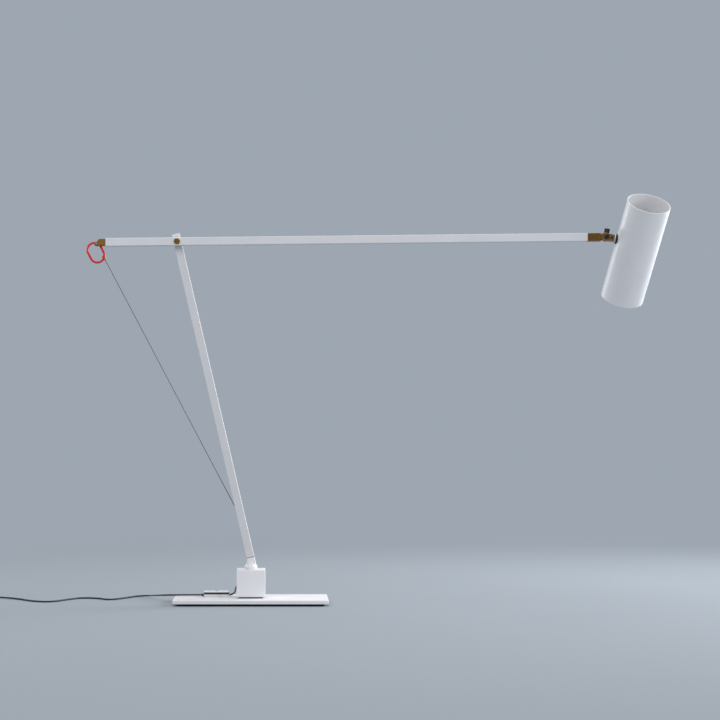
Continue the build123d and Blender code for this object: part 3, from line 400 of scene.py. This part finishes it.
def rounded_outline(half_width, half_depth, corner, steps=6):
    """Points round a rectangle with round corners, anticlockwise."""
    outline = []
    for quarter in range(4):
        side_x = 1 if quarter in (0, 3) else -1
        side_y = 1 if quarter in (0, 1) else -1
        for step in range(steps + 1):
            turn = pi / 2 * (quarter + step / steps)
            outline.append(
                (
                    side_x * (half_width - corner) + corner * cos(turn),
                    side_y * (half_depth - corner) + corner * sin(turn),
                )
            )
    return outline


def loft(sections):
    """Vertices and faces of a closed body through rings of as many points each."""
    count = len(sections[0])
    vertices = [point for section in sections for point in section]
    faces = [tuple(reversed(range(count)))]
    for ring in range(len(sections) - 1):
        low = ring * count
        high = low + count
        for index in range(count):
            after = (index + 1) % count
            faces.append((low + index, low + after, high + after, high + index))
    last = (len(sections) - 1) * count
    faces.append(tuple(range(last, last + count)))
    return vertices, faces


def rounded_slab(low, high, corner, bottom_round, top_round):
    """A block between two corners in metres, with round upright edges and round rims."""
    center = (low + high) / 2
    half = (high - low) / 2
    rims = [(low.z, bottom_round, 1), (high.z, top_round, -1)]
    sections = []
    for level, radius, direction in rims:
        for turn in list(range(RIM_STEPS + 1))[::direction]:
            angle = pi / 2 * turn / RIM_STEPS
            inset = radius * (1 - sin(angle))
            height = level + direction * radius * (1 - cos(angle))
            outline = rounded_outline(half.x - inset, half.y - inset, max(corner - inset, 1e-4))
            sections.append([(center.x + x, center.y + y, height) for x, y in outline])
    return loft(sections)


def rod_ring(path, radius, sides, normal):
    """A closed round rod along a ring of points that lie in one plane."""
    count = len(path)
    vertices = []
    for index, point in enumerate(path):
        along = (path[(index + 1) % count] - path[index - 1]).normalized()
        across = along.cross(normal).normalized()
        for side in range(sides):
            turn = 2 * pi * side / sides
            vertices.append(point + radius * (across * cos(turn) + normal * sin(turn)))
    return vertices, ring_faces(count, sides)


def ring_faces(rings, sides):
    """Faces of a body whose last ring of points joins its first."""
    faces = []
    for ring in range(rings):
        low = ring * sides
        high = ((ring + 1) % rings) * sides
        for index in range(sides):
            after = (index + 1) % sides
            faces.append((low + index, low + after, high + after, high + index))
    return faces


def lathe(profile, origin, axis, sides=32, closed=False):
    """A turned piece: (radius, along) places in millimetres, turned round an axis."""
    across = axis.orthogonal().normalized()
    third = axis.cross(across)
    sections = []
    for radius, along in profile:
        center = origin + axis * (along * MM)
        section = []
        for side in range(sides):
            turn = 2 * pi * side / sides
            outward = across * cos(turn) + third * sin(turn)
            section.append(center + (radius * MM) * outward)
        sections.append(section)
    if not closed:
        return loft(sections)
    vertices = [point for section in sections for point in section]
    return vertices, ring_faces(len(sections), sides)


def joined(*shapes):
    """Several shapes' vertices and faces as one."""
    vertices = []
    faces = []
    for points, sides in shapes:
        start = len(vertices)
        vertices += list(points)
        faces += [tuple(start + index for index in side) for side in sides]
    return vertices, faces


def settings(context):
    """The lamp's settings in this file."""
    scene = context.scene
    return scene.lamp_finish, scene.lamp_cable, scene.lamp_stage


# ------------------------------------------------------------------------ pieces
class LAMP_OT_base(bpy.types.Operator):
    """Finish the plate, its pad, the cube and the swivel under the stem"""

    bl_idname = "lamp.finish_base"
    bl_label = "Base"

    def execute(self, context):
        finish, _, _ = settings(context)
        # Painted light: the plate, cube and foot take a lighter copy of the head's lacquer.
        white = lacquer("base lacquer, painted lighter", shade(finish.lacquer_colour, BASE_PAINTED_LIGHT_SHARE), finish.grain)
        finish_nodes(white, "stem_foot")
        for name, (corner, rim) in BLOCK_ROUNDS.items():
            low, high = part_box(name)
            shape = rounded_slab(Vector(low), Vector(high), corner * MM, rim * MM, rim * MM)
            mesh_piece(name + "_body", *shape, white, "white_steel", "base", name)
        # Painted shade: the spacer under the cube takes a shadow grey for the shaded line
        # there.
        shadow = lacquer("spacer shadow grey", SHADOW_GREY, finish.grain, 0.5, 0.0)
        finish_nodes(shadow, "cube_spacer")
        rubber = moulded_plastic("pad rubber", finish.black_colour, 0.8, 0.0012)
        finish_nodes(rubber, "base_pad", "cable_gland")
        bronze = brushed_metal("bush bronze", BUSH_BRONZE, 0.4, (1, 1, 12))
        finish_nodes(bronze, "swivel_bush")
        steel = brushed_metal("base steel", finish.steel_colour, 0.32, (1, 1, 8))
        finish_nodes(steel, "cube_screws", "swivel_washer", "spindle_nut")
        return {"FINISHED"}


# A ring of painted shade in the joint line between the foot and the stem, in millimetres.
STEM_CROSSING = (0.0, 0.0, 90.65)
STEM_LEAN = 13.04
SHADOW_RING_START = 5.02
SHADOW_RING_HEIGHT = 1.16
SHADOW_RING_SIDE = 16.2
SHADOW_RING_CORNER = 1.1


def joint_shadow_ring_shape():
    """A thin square ring of painted shade across the stem, where it meets its foot."""
    lean = radians(STEM_LEAN)
    along = Vector((-sin(lean), 0.0, cos(lean)))
    side = Vector((cos(lean), 0.0, sin(lean)))
    half = SHADOW_RING_SIDE * MM / 2
    sections = []
    for height in (SHADOW_RING_START, SHADOW_RING_START + SHADOW_RING_HEIGHT):
        middle = Vector(STEM_CROSSING) * MM + along * height * MM
        sections.append(
            [
                middle + side * x + Vector((0.0, y, 0.0))
                for x, y in rounded_outline(half, half, SHADOW_RING_CORNER * MM, 3)
            ]
        )
    return loft(sections)


class LAMP_OT_stem(bpy.types.Operator):
    """Finish the stem and what it holds"""

    bl_idname = "lamp.finish_stem"
    bl_label = "Stem"

    def execute(self, context):
        finish, _, _ = settings(context)
        # Painted shade: the stem and its cap take a darker copy of the head's lacquer.
        white = lacquer("stem lacquer, painted shade", shade(finish.lacquer_colour, STEM_PAINTED_SHADE_SHARE), finish.grain)
        finish_nodes(white, "stem_tube", "stem_cap")
        slider = moulded_plastic("slider plastic", finish.black_colour, 0.45)
        finish_nodes(slider, "wire_carriage", "spring_seat", "pivot_spacer")
        spring = brushed_metal("spring steel", finish.steel_colour, 0.3, (1, 1, 30))
        finish_nodes(spring, "balance_spring")
        black = lacquer("screw black", finish.black_colour, finish.grain, 0.35, 0.1)
        finish_nodes(black, "seat_screw", "pivot_washer")
        brass = brushed_metal("pivot brass", finish.brass_colour, 0.3, (1, 10, 1))
        finish_nodes(brass, "pivot_pin", "pivot_nut")
        sheath = moulded_plastic("lead sheath", SHEATH_GREY, 0.5)
        finish_nodes(sheath, "stem_lead", "arm_lead", "head_lead")
        # Painted shade: a thin dark grey ring stands in the joint between the foot and the
        # stem, where there is only shade.
        joint_shadow = moulded_plastic("joint shadow grey", SHADOW_GREY, 0.6)
        mesh_piece("stem_joint_shadow_ring", *joint_shadow_ring_shape(), joint_shadow, "black_rubber", "stem")
        return {"FINISHED"}


class LAMP_OT_arm(bpy.types.Operator):
    """Finish the arm with its brass ends"""

    bl_idname = "lamp.finish_arm"
    bl_label = "Arm"

    def execute(self, context):
        finish, _, _ = settings(context)
        # Painted shade: the arm takes a darker copy of the head's lacquer.
        white = lacquer("arm lacquer, painted shade", shade(finish.lacquer_colour, ARM_PAINTED_SHADE_SHARE), finish.grain)
        finish_nodes(white, "arm_tube")
        brass = brushed_metal("arm end brass", finish.brass_colour, 0.32, (1, 12, 12))
        finish_nodes(brass, "tail_plug", "arm_end_plug")
        return {"FINISHED"}


# The wire and its hoop, in millimetres.
WIRE_SKIN = 0.6
ROPE_RADIUS = 0.8
ROPE_LAY = 12.0
ROPE_WIRES = 6
ROPE_SIDES = 24
ROPE_FLUTE = 0.16
RINGS_PER_LAY = 14
HOOP_ROD = 2.4
HOOP_BOW = 10.0
HOOP_LENGTH = 30.6
HOOP_HALF_WIDTH = 14.6
HOOP_HALF_HEIGHT = 21.0
HOOP_LUG = 36.8
HOOP_STEPS = 24
HOOP_SIDES = 16
# Outlines of the turned parts: the radius, and the place along the axis.
EYE_OUTLINE = [
    (1.5, -2.2),
    (3.2, -2.3),
    (3.8, -1.7),
    (4.0, 0.0),
    (3.8, 1.7),
    (3.2, 2.3),
    (1.5, 2.2),
]
SLEEVE_OUTLINE = [(1.9, 0.0), (2.4, 0.5), (3.0, 3.5), (3.1, 6.0), (2.6, 8.6), (1.2, 9.6)]


def wire_ends():
    """The top and bottom of the balance wire, from its box in the frame."""
    low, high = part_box("balance_wire")
    skin = WIRE_SKIN * MM
    top = Vector((low[0] + skin, low[1] + skin, high[2]))
    bottom = Vector((high[0] - skin, high[1] - skin, low[2]))
    return top, bottom


def rope_shape():
    """A wire rope: its outer wires are flutes that wind round the whole length."""
    top, bottom = wire_ends()
    down = (bottom - top).normalized()
    across = down.orthogonal().normalized()
    third = down.cross(across)
    rings = int((bottom - top).length / (ROPE_LAY * MM) * RINGS_PER_LAY)
    sections = []
    for ring in range(rings + 1):
        middle = top + (bottom - top) * (ring / rings)
        section = []
        for side in range(ROPE_SIDES):
            turn = 2 * pi * side / ROPE_SIDES
            hollow = ROPE_FLUTE * (1 - abs(sin(ROPE_WIRES / 2 * turn)))
            radius = ROPE_RADIUS * MM * (1 - hollow)
            turn += 2 * pi * ring / RINGS_PER_LAY
            section.append(middle + radius * (across * cos(turn) + third * sin(turn)))
        sections.append(section)
    return loft(sections)


def hoop_shape():
    """A hoop of round rod with an eye round the pin above and a sleeve on the wire below."""
    joints = frame["record"]["behaviour"]["joints"]
    eye = Vector(next(joint["pos_m"] for joint in joints if joint["name"] == "wire_swing"))
    top, bottom = wire_ends()
    up = (top - bottom).normalized()
    side = Vector((0, 1, 0)).cross(up).normalized()
    normal = up.cross(side)

    def place(x, z):
        return eye + side * (x * MM) + up * (z * MM)

    leg = HOOP_HALF_HEIGHT - HOOP_HALF_WIDTH
    path = []
    for half, direction in ((0, 1), (1, -1)):
        for step in range(HOOP_STEPS + 1):
            turn = pi * (half + step / HOOP_STEPS)
            path.append(
                place(
                    -HOOP_BOW + HOOP_HALF_WIDTH * cos(turn),
                    -HOOP_LENGTH / 2 + direction * leg + HOOP_HALF_WIDTH * sin(turn),
                )
            )
    rod = rod_ring(path, HOOP_ROD * MM, HOOP_SIDES, normal)
    eye_ring = lathe(EYE_OUTLINE, eye, normal, closed=True)
    grip = lathe(SLEEVE_OUTLINE, place(0, -HOOP_LUG), up)
    return joined(rod, eye_ring, grip)


class LAMP_OT_wire(bpy.types.Operator):
    """Finish the tension link and the balance wire"""

    bl_idname = "lamp.finish_wire"
    bl_label = "Wire"

    def execute(self, context):
        finish, _, _ = settings(context)
        red = lacquer("link red", finish.link_colour, 0.004, 0.3, 0.25)
        mesh_piece("tension_hoop", *hoop_shape(), red, "red_lacquer", "wire", "tension_link")
        strands = brushed_metal("wire strands", ROPE_GREY, 0.5, (1, 1, 1))
        mesh_piece("wire_rope", *rope_shape(), strands, "steel", "wire", "balance_wire")
        steel = brushed_metal("ferrule steel", finish.steel_colour, 0.3, (1, 1, 8))
        finish_nodes(steel, "wire_ferrule", "wire_nipple", "eye_pin")
        return {"FINISHED"}


class LAMP_OT_head_joint(bpy.types.Operator):
    """Finish the joint between the arm and the head"""

    bl_idname = "lamp.finish_head_joint"
    bl_label = "Head joint"

    def execute(self, context):
        finish, _, _ = settings(context)
        # Painted highlight: the fork's brass is a lighter copy of the brass of the plugs and
        # the pivot pin.
        lit_brass = shade(finish.brass_colour, JOINT_BRASS_PAINTED_LIGHT_SHARE)
        brass = brushed_metal("joint brass, painted highlight", lit_brass, 0.22, (1, 8, 8))
        finish_nodes(brass, "head_fork")
        black = lacquer("joint screw black", finish.black_colour, finish.grain, 0.3, 0.2)
        finish_nodes(black, "hinge_screw", "hinge_nut", "lock_screw")
        knob = moulded_plastic("knob black", finish.black_colour, 0.4)
        finish_nodes(knob, "thumb_knob", "outer_saddle", "inner_saddle")
        ring = moulded_plastic("ring white", TRIM_WHITE, 0.4)
        finish_nodes(ring, "stub_ring")
        steel = brushed_metal("stub steel", finish.steel_colour, 0.3, (12, 1, 1))
        finish_nodes(steel, "head_stub", "stub_nut")
        return {"FINISHED"}


class LAMP_OT_head(bpy.types.Operator):
    """Finish the tube head and its light source"""

    bl_idname = "lamp.finish_head"
    bl_label = "Head"

    def execute(self, context):
        finish, _, _ = settings(context)
        white = lacquer("head lacquer", finish.lacquer_colour, finish.grain)
        finish_nodes(white, "head_shade")
        fins = brushed_metal("fin aluminium", FIN_ALUMINIUM, 0.4, (1, 1, 10))
        finish_nodes(fins, "heat_sink", "led_board", "retainer_ring")
        bright = brushed_metal(
            "reflector bright", BRIGHT_ALUMINIUM, 0.14, (1, 1, 6), tarnish=0.97
        )
        finish_nodes(bright, "reflector")
        chip = moulded_plastic("chip yellow", CHIP_YELLOW, 0.3)
        finish_nodes(chip, "led_chip")
        finish_nodes(glowing_diffuser("diffuser frost"), "diffuser")
        return {"FINISHED"}


class LAMP_OT_dimmer(bpy.types.Operator):
    """Finish the in-line dimmer"""

    bl_idname = "lamp.finish_dimmer"
    bl_label = "Dimmer"

    def execute(self, context):
        finish, _, _ = settings(context)
        white = moulded_plastic("dimmer white", TRIM_WHITE, 0.4)
        corner = DIMMER_CORNER * MM
        for name, (lower, upper) in DIMMER_ROUNDS.items():
            low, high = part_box(name)
            shape = rounded_slab(Vector(low), Vector(high), corner, lower * MM, upper * MM)
            mesh_piece(name + "_shell", *shape, white, "white_plastic", "base", name)
        black = moulded_plastic("dimmer black", finish.black_colour, 0.45)
        finish_nodes(black, "dimmer_band")
        grey = moulded_plastic("button grey", BUTTON_GREY, 0.4)
        finish_nodes(grey, "dimmer_button")
        board = moulded_plastic("board green", BOARD_GREEN, 0.35, 0.002)
        finish_nodes(board, "dimmer_board")
        return {"FINISHED"}


# ------------------------------------------------------------------------- cable
# The cable's route, in millimetres, as the photo shows it.
EXIT_HEIGHT = 15.6
DIMMER_MIDDLE = 20.5
TABLE = 1.9
COIL_CENTER = (-600.0, 77.2)
COIL_HEIGHT = 3.0
COIL_INNER = 17.0
COIL_PITCH = 4.6
COIL_RISE = 4.2
COIL_LAYERS = 4
COIL_HALVES = 4
PLUG_RUN = 30.0
POINTS_PER_HALF = 6

LINK_ROUTE = [
    (0.0, 38.0, 34.0),
    (0.0, 59.0, 34.0),
    (-33.8, 59.0, 33.4),
    (-33.8, DIMMER_MIDDLE, EXIT_HEIGHT),
    (-50.2, DIMMER_MIDDLE, EXIT_HEIGHT),
]

SUPPLY_ROUTE = [
    (-94.6, DIMMER_MIDDLE, EXIT_HEIGHT),
    (-145.0, DIMMER_MIDDLE, EXIT_HEIGHT),
    (-185.0, 38.0, 13.4),
    (-207.0, 84.0, 8.5),
    (-222.0, 128.0, 4.0),
    (-250.0, 140.0, TABLE),
    (-270.0, 100.0, TABLE),
    (-296.0, 62.0, TABLE),
    (-310.0, 64.0, TABLE),
    (-325.0, 88.0, TABLE),
    (-365.0, 102.0, TABLE),
    (-390.0, 66.0, TABLE),
    (-418.0, 10.0, TABLE),
    (-458.0, 24.0, TABLE),
    (-492.0, 72.0, TABLE),
    (-541.0, 103.4, COIL_HEIGHT),
]


def coil_route():
    """Points of the hand-wound coil, half turn by half turn and layer on layer."""
    center_x, center_y = COIL_CENTER
    radius = COIL_INNER + COIL_HALVES * COIL_PITCH / 2
    side = 1
    height = COIL_HEIGHT
    place = center_y + side * radius
    swell = 1.0 / cos(pi / (2 * POINTS_PER_HALF))
    points = []
    for layer in range(COIL_LAYERS):
        growth = COIL_PITCH / 2 if layer % 2 else -COIL_PITCH / 2
        halves = COIL_HALVES + (1 if layer == COIL_LAYERS - 1 else 0)
        steps = [(growth, 0.0)] * halves
        if layer < COIL_LAYERS - 1:
            steps.append((0.0, COIL_RISE))
        for radius_step, rise in steps:
            radius += radius_step
            side = -side
            end = center_y + side * radius
            middle = (place + end) / 2
            half_width = abs(end - place) / 2 * swell
            for step in range(POINTS_PER_HALF):
                turn = pi * (step + 0.5) / POINTS_PER_HALF
                points.append(
                    (
                        center_x + side * half_width * sin(turn),
                        middle - side * half_width * cos(turn),
                        height + rise * (step + 0.5) / POINTS_PER_HALF,
                    )
                )
            place = end
            height += rise
    points.append((center_x, place, height))
    points.append((center_x - PLUG_RUN, place, height))
    return points


def cable_curve(name, route, diameter, material):
    """A round cable along one smooth spline, with the route as its control points."""
    curve = bpy.data.curves.new(name, "CURVE")
    curve.dimensions = "3D"
    curve.bevel_depth = diameter / 2
    curve.bevel_resolution = 4
    curve.resolution_u = 6
    curve.use_fill_caps = True
    spline = curve.splines.new("NURBS")
    spline.points.add(len(route) - 1)
    for point, place in zip(spline.points, route):
        point.co = (*(Vector(place) * MM), 1.0)
    spline.order_u = 3
    spline.use_endpoint_u = True
    curve.materials.append(material)
    cable = bpy.data.objects.new(name, curve)
    bpy.context.scene.collection.objects.link(cable)
    return cable


class LAMP_OT_cables(bpy.types.Operator):
    """Lay the cable from the cube to the dimmer, and from there to the plug"""

    bl_idname = "lamp.lay_cables"
    bl_label = "Cables"

    def execute(self, context):
        finish, cable, _ = settings(context)
        sheath = moulded_plastic("cable sheath", finish.black_colour, 0.5, 0.0008)
        finish_nodes(sheath, "cord_relief")
        black = moulded_plastic("plug black", finish.black_colour, 0.45)
        finish_nodes(black, "supply_plug", "cord_tie")
        pins = brushed_metal("pin nickel", PIN_NICKEL, 0.25, (12, 1, 1))
        finish_nodes(pins, "plug_pins")

        link = cable_curve("dimmer_cable", LINK_ROUTE, cable.diameter, sheath)
        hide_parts("link_cord")
        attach(link, "base")

        route = SUPPLY_ROUTE + coil_route()
        supply = cable_curve("supply_cable", route, cable.diameter, sheath)
        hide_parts("supply_cord", "cord_coil")
        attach(supply, "base")
        return {"FINISHED"}


# ------------------------------------------------------------------------- stage
# Places and sizes in metres.
AIR_COLOUR = (0.96, 0.98, 1.0, 1.0)
AIR_STRENGTH = 0.45
FLOOR_REACH = 12.0
FADE_START = 0.8
FADE_END = 2.6
LIGHT_TARGET = (0.2, 0.0, 0.45)
# Each light's name, place and width, the setting it takes, and its share of it.
LIGHTS = (
    ("key light", (-1.6, -2.6, 2.4), 2.2, "key_power", 1.0),
    ("fill light", (3.2, -1.5, 1.3), 2.0, "fill_power", 1.0),
    ("top light", (0.3, 0.4, 3.0), 2.4, "fill_power", 0.8),
    ("left rim light", (-2.3, 3.4, 1.2), 1.2, "rim_power", 0.7),
    ("right rim light", (2.9, 1.2, 1.2), 1.2, "rim_power", 2.0),
)
CAMERA_PLACE = (0.054, -3.326, 0.330)
SENSOR_WIDTH = 36.0
FRAME_PIXELS = 720
# The pixel of the frame that the level camera looks straight at.
AIM_PIXEL = (277, 445)


def area_light(name, place, size, power):
    """A square soft light that looks at the lamp."""
    lamp = bpy.data.lights.new(name, "AREA")
    lamp.shape = "SQUARE"
    lamp.size = size
    lamp.energy = power
    light = bpy.data.objects.new(name, lamp)
    light.location = place
    aim = Vector(LIGHT_TARGET) - Vector(place)
    light.rotation_euler = aim.to_track_quat("-Z", "Y").to_euler()
    bpy.context.scene.collection.objects.link(light)


def backdrop_world(colour):
    """Soft light from all round, and a plain colour where the camera sees past the floor."""
    world = bpy.data.worlds.new("studio air")
    world.use_nodes = True
    nodes = world.node_tree.nodes
    links = world.node_tree.links
    nodes.clear()
    light = nodes.new("ShaderNodeBackground")
    light.inputs["Color"].default_value = AIR_COLOUR
    light.inputs["Strength"].default_value = AIR_STRENGTH
    seen = nodes.new("ShaderNodeBackground")
    seen.inputs["Color"].default_value = (*colour, 1.0)
    seen.inputs["Strength"].default_value = 1.0
    ray = nodes.new("ShaderNodeLightPath")
    mix = nodes.new("ShaderNodeMixShader")
    output = nodes.new("ShaderNodeOutputWorld")
    direct = nodes.new("ShaderNodeMath")
    direct.operation = "MAXIMUM"
    links.new(ray.outputs["Is Camera Ray"], direct.inputs[0])
    links.new(ray.outputs["Is Glossy Ray"], direct.inputs[1])
    through = nodes.new("ShaderNodeMath")
    through.operation = "MAXIMUM"
    links.new(direct.outputs["Value"], through.inputs[0])
    links.new(ray.outputs["Is Transmission Ray"], through.inputs[1])
    links.new(through.outputs["Value"], mix.inputs["Fac"])
    links.new(light.outputs["Background"], mix.inputs[1])
    links.new(seen.outputs["Background"], mix.inputs[2])
    links.new(mix.outputs["Shader"], output.inputs["Surface"])
    return world


def floor_paper(stage):
    """Plain paper that takes the object's shadow and runs out into the backdrop's colour."""
    material, shader, place = new_material("floor paper")
    nodes = material.node_tree.nodes
    links = material.node_tree.links
    grain = add_noise(material, place, PAPER_CLOUD, detail=4.0)
    colour = stage.floor_colour
    tint = add_ramp(material, grain, shade(colour, 0.985), shade(colour, 1.015))
    links.new(tint, shader.inputs["Base Color"])
    shader.inputs["Roughness"].default_value = 0.9
    shader.inputs["Specular IOR Level"].default_value = 0.1
    away = nodes.new("ShaderNodeVectorMath")
    away.operation = "LENGTH"
    links.new(place.outputs["Object"], away.inputs[0])
    fade = nodes.new("ShaderNodeMapRange")
    fade.interpolation_type = "SMOOTHSTEP"
    fade.inputs["From Min"].default_value = FADE_START
    fade.inputs["From Max"].default_value = FADE_END
    links.new(away.outputs["Value"], fade.inputs["Value"])
    far = nodes.new("ShaderNodeEmission")
    far.inputs["Color"].default_value = (*stage.sky_colour, 1.0)
    mix = nodes.new("ShaderNodeMixShader")
    links.new(fade.outputs["Result"], mix.inputs["Fac"])
    links.new(shader.outputs["BSDF"], mix.inputs[1])
    links.new(far.outputs["Emission"], mix.inputs[2])
    links.new(mix.outputs["Shader"], nodes["Material Output"].inputs["Surface"])
    return material


class LAMP_OT_stage(bpy.types.Operator):
    """Set the floor, the soft light and the camera"""

    bl_idname = "lamp.set_stage"
    bl_label = "Stage"

    def execute(self, context):
        _, _, stage = settings(context)
        scene = context.scene
        scene.view_settings.view_transform = "Standard"
        scene.world = backdrop_world(stage.sky_colour)

        mesh = bpy.data.meshes.new("studio_floor")
        reach = FLOOR_REACH
        corners = [(x * reach, y * reach, 0) for x, y in ((-1, -1), (1, -1), (1, 1), (-1, 1))]
        mesh.from_pydata(corners, [], [(0, 1, 2, 3)])
        floor = bpy.data.objects.new("studio_floor", mesh)
        mesh.materials.append(floor_paper(stage))
        scene.collection.objects.link(floor)

        for name, place, size, setting, share in LIGHTS:
            area_light(name, place, size, getattr(stage, setting) * share)

        camera = bpy.data.cameras.new("photo camera")
        camera.lens = stage.lens
        camera.sensor_width = SENSOR_WIDTH
        camera.sensor_fit = "HORIZONTAL"
        camera.shift_x = (FRAME_PIXELS / 2 - AIM_PIXEL[0]) / FRAME_PIXELS
        camera.shift_y = (AIM_PIXEL[1] - FRAME_PIXELS / 2) / FRAME_PIXELS
        camera.clip_end = 100.0
        viewer = bpy.data.objects.new("photo camera", camera)
        viewer.location = CAMERA_PLACE
        viewer.rotation_euler = (pi / 2, 0.0, 0.0)
        scene.collection.objects.link(viewer)
        scene.camera = viewer
        return {"FINISHED"}


# ------------------------------------------------------------------------- panel
class LAMP_PT_pieces(bpy.types.Panel):
    """Sizes, colours and steps of the lamp"""

    bl_idname = "LAMP_PT_pieces"
    bl_label = "Desk Lamp"
    bl_space_type = "VIEW_3D"
    bl_region_type = "UI"
    bl_category = "Desk Lamp"

    def draw(self, context):
        layout = self.layout
        for group in settings(context):
            box = layout.box()
            for name in group.__annotations__:
                box.prop(group, name)
        for operator in PIECES:
            layout.operator(operator.bl_idname)


GROUPS = (LampFinishSettings, LampCableSettings, LampStageSettings)
PIECES = (
    LAMP_OT_base,
    LAMP_OT_stem,
    LAMP_OT_arm,
    LAMP_OT_wire,
    LAMP_OT_head_joint,
    LAMP_OT_head,
    LAMP_OT_dimmer,
    LAMP_OT_cables,
    LAMP_OT_stage,
)


def register():
    for group in (*GROUPS, *PIECES, LAMP_PT_pieces):
        bpy.utils.register_class(group)
    bpy.types.Scene.lamp_finish = bpy.props.PointerProperty(type=LampFinishSettings)
    bpy.types.Scene.lamp_cable = bpy.props.PointerProperty(type=LampCableSettings)
    bpy.types.Scene.lamp_stage = bpy.props.PointerProperty(type=LampStageSettings)


def unregister():
    del bpy.types.Scene.lamp_stage
    del bpy.types.Scene.lamp_cable
    del bpy.types.Scene.lamp_finish
    for group in reversed((*GROUPS, *PIECES, LAMP_PT_pieces)):
        bpy.utils.unregister_class(group)


def main():
    register()
    bpy.ops.lamp.finish_base()
    bpy.ops.lamp.finish_stem()
    bpy.ops.lamp.finish_arm()
    bpy.ops.lamp.finish_wire()
    bpy.ops.lamp.finish_head_joint()
    bpy.ops.lamp.finish_head()
    bpy.ops.lamp.finish_dimmer()
    bpy.ops.lamp.lay_cables()
    bpy.ops.lamp.set_stage()


if __name__ == "__main__":
    main()
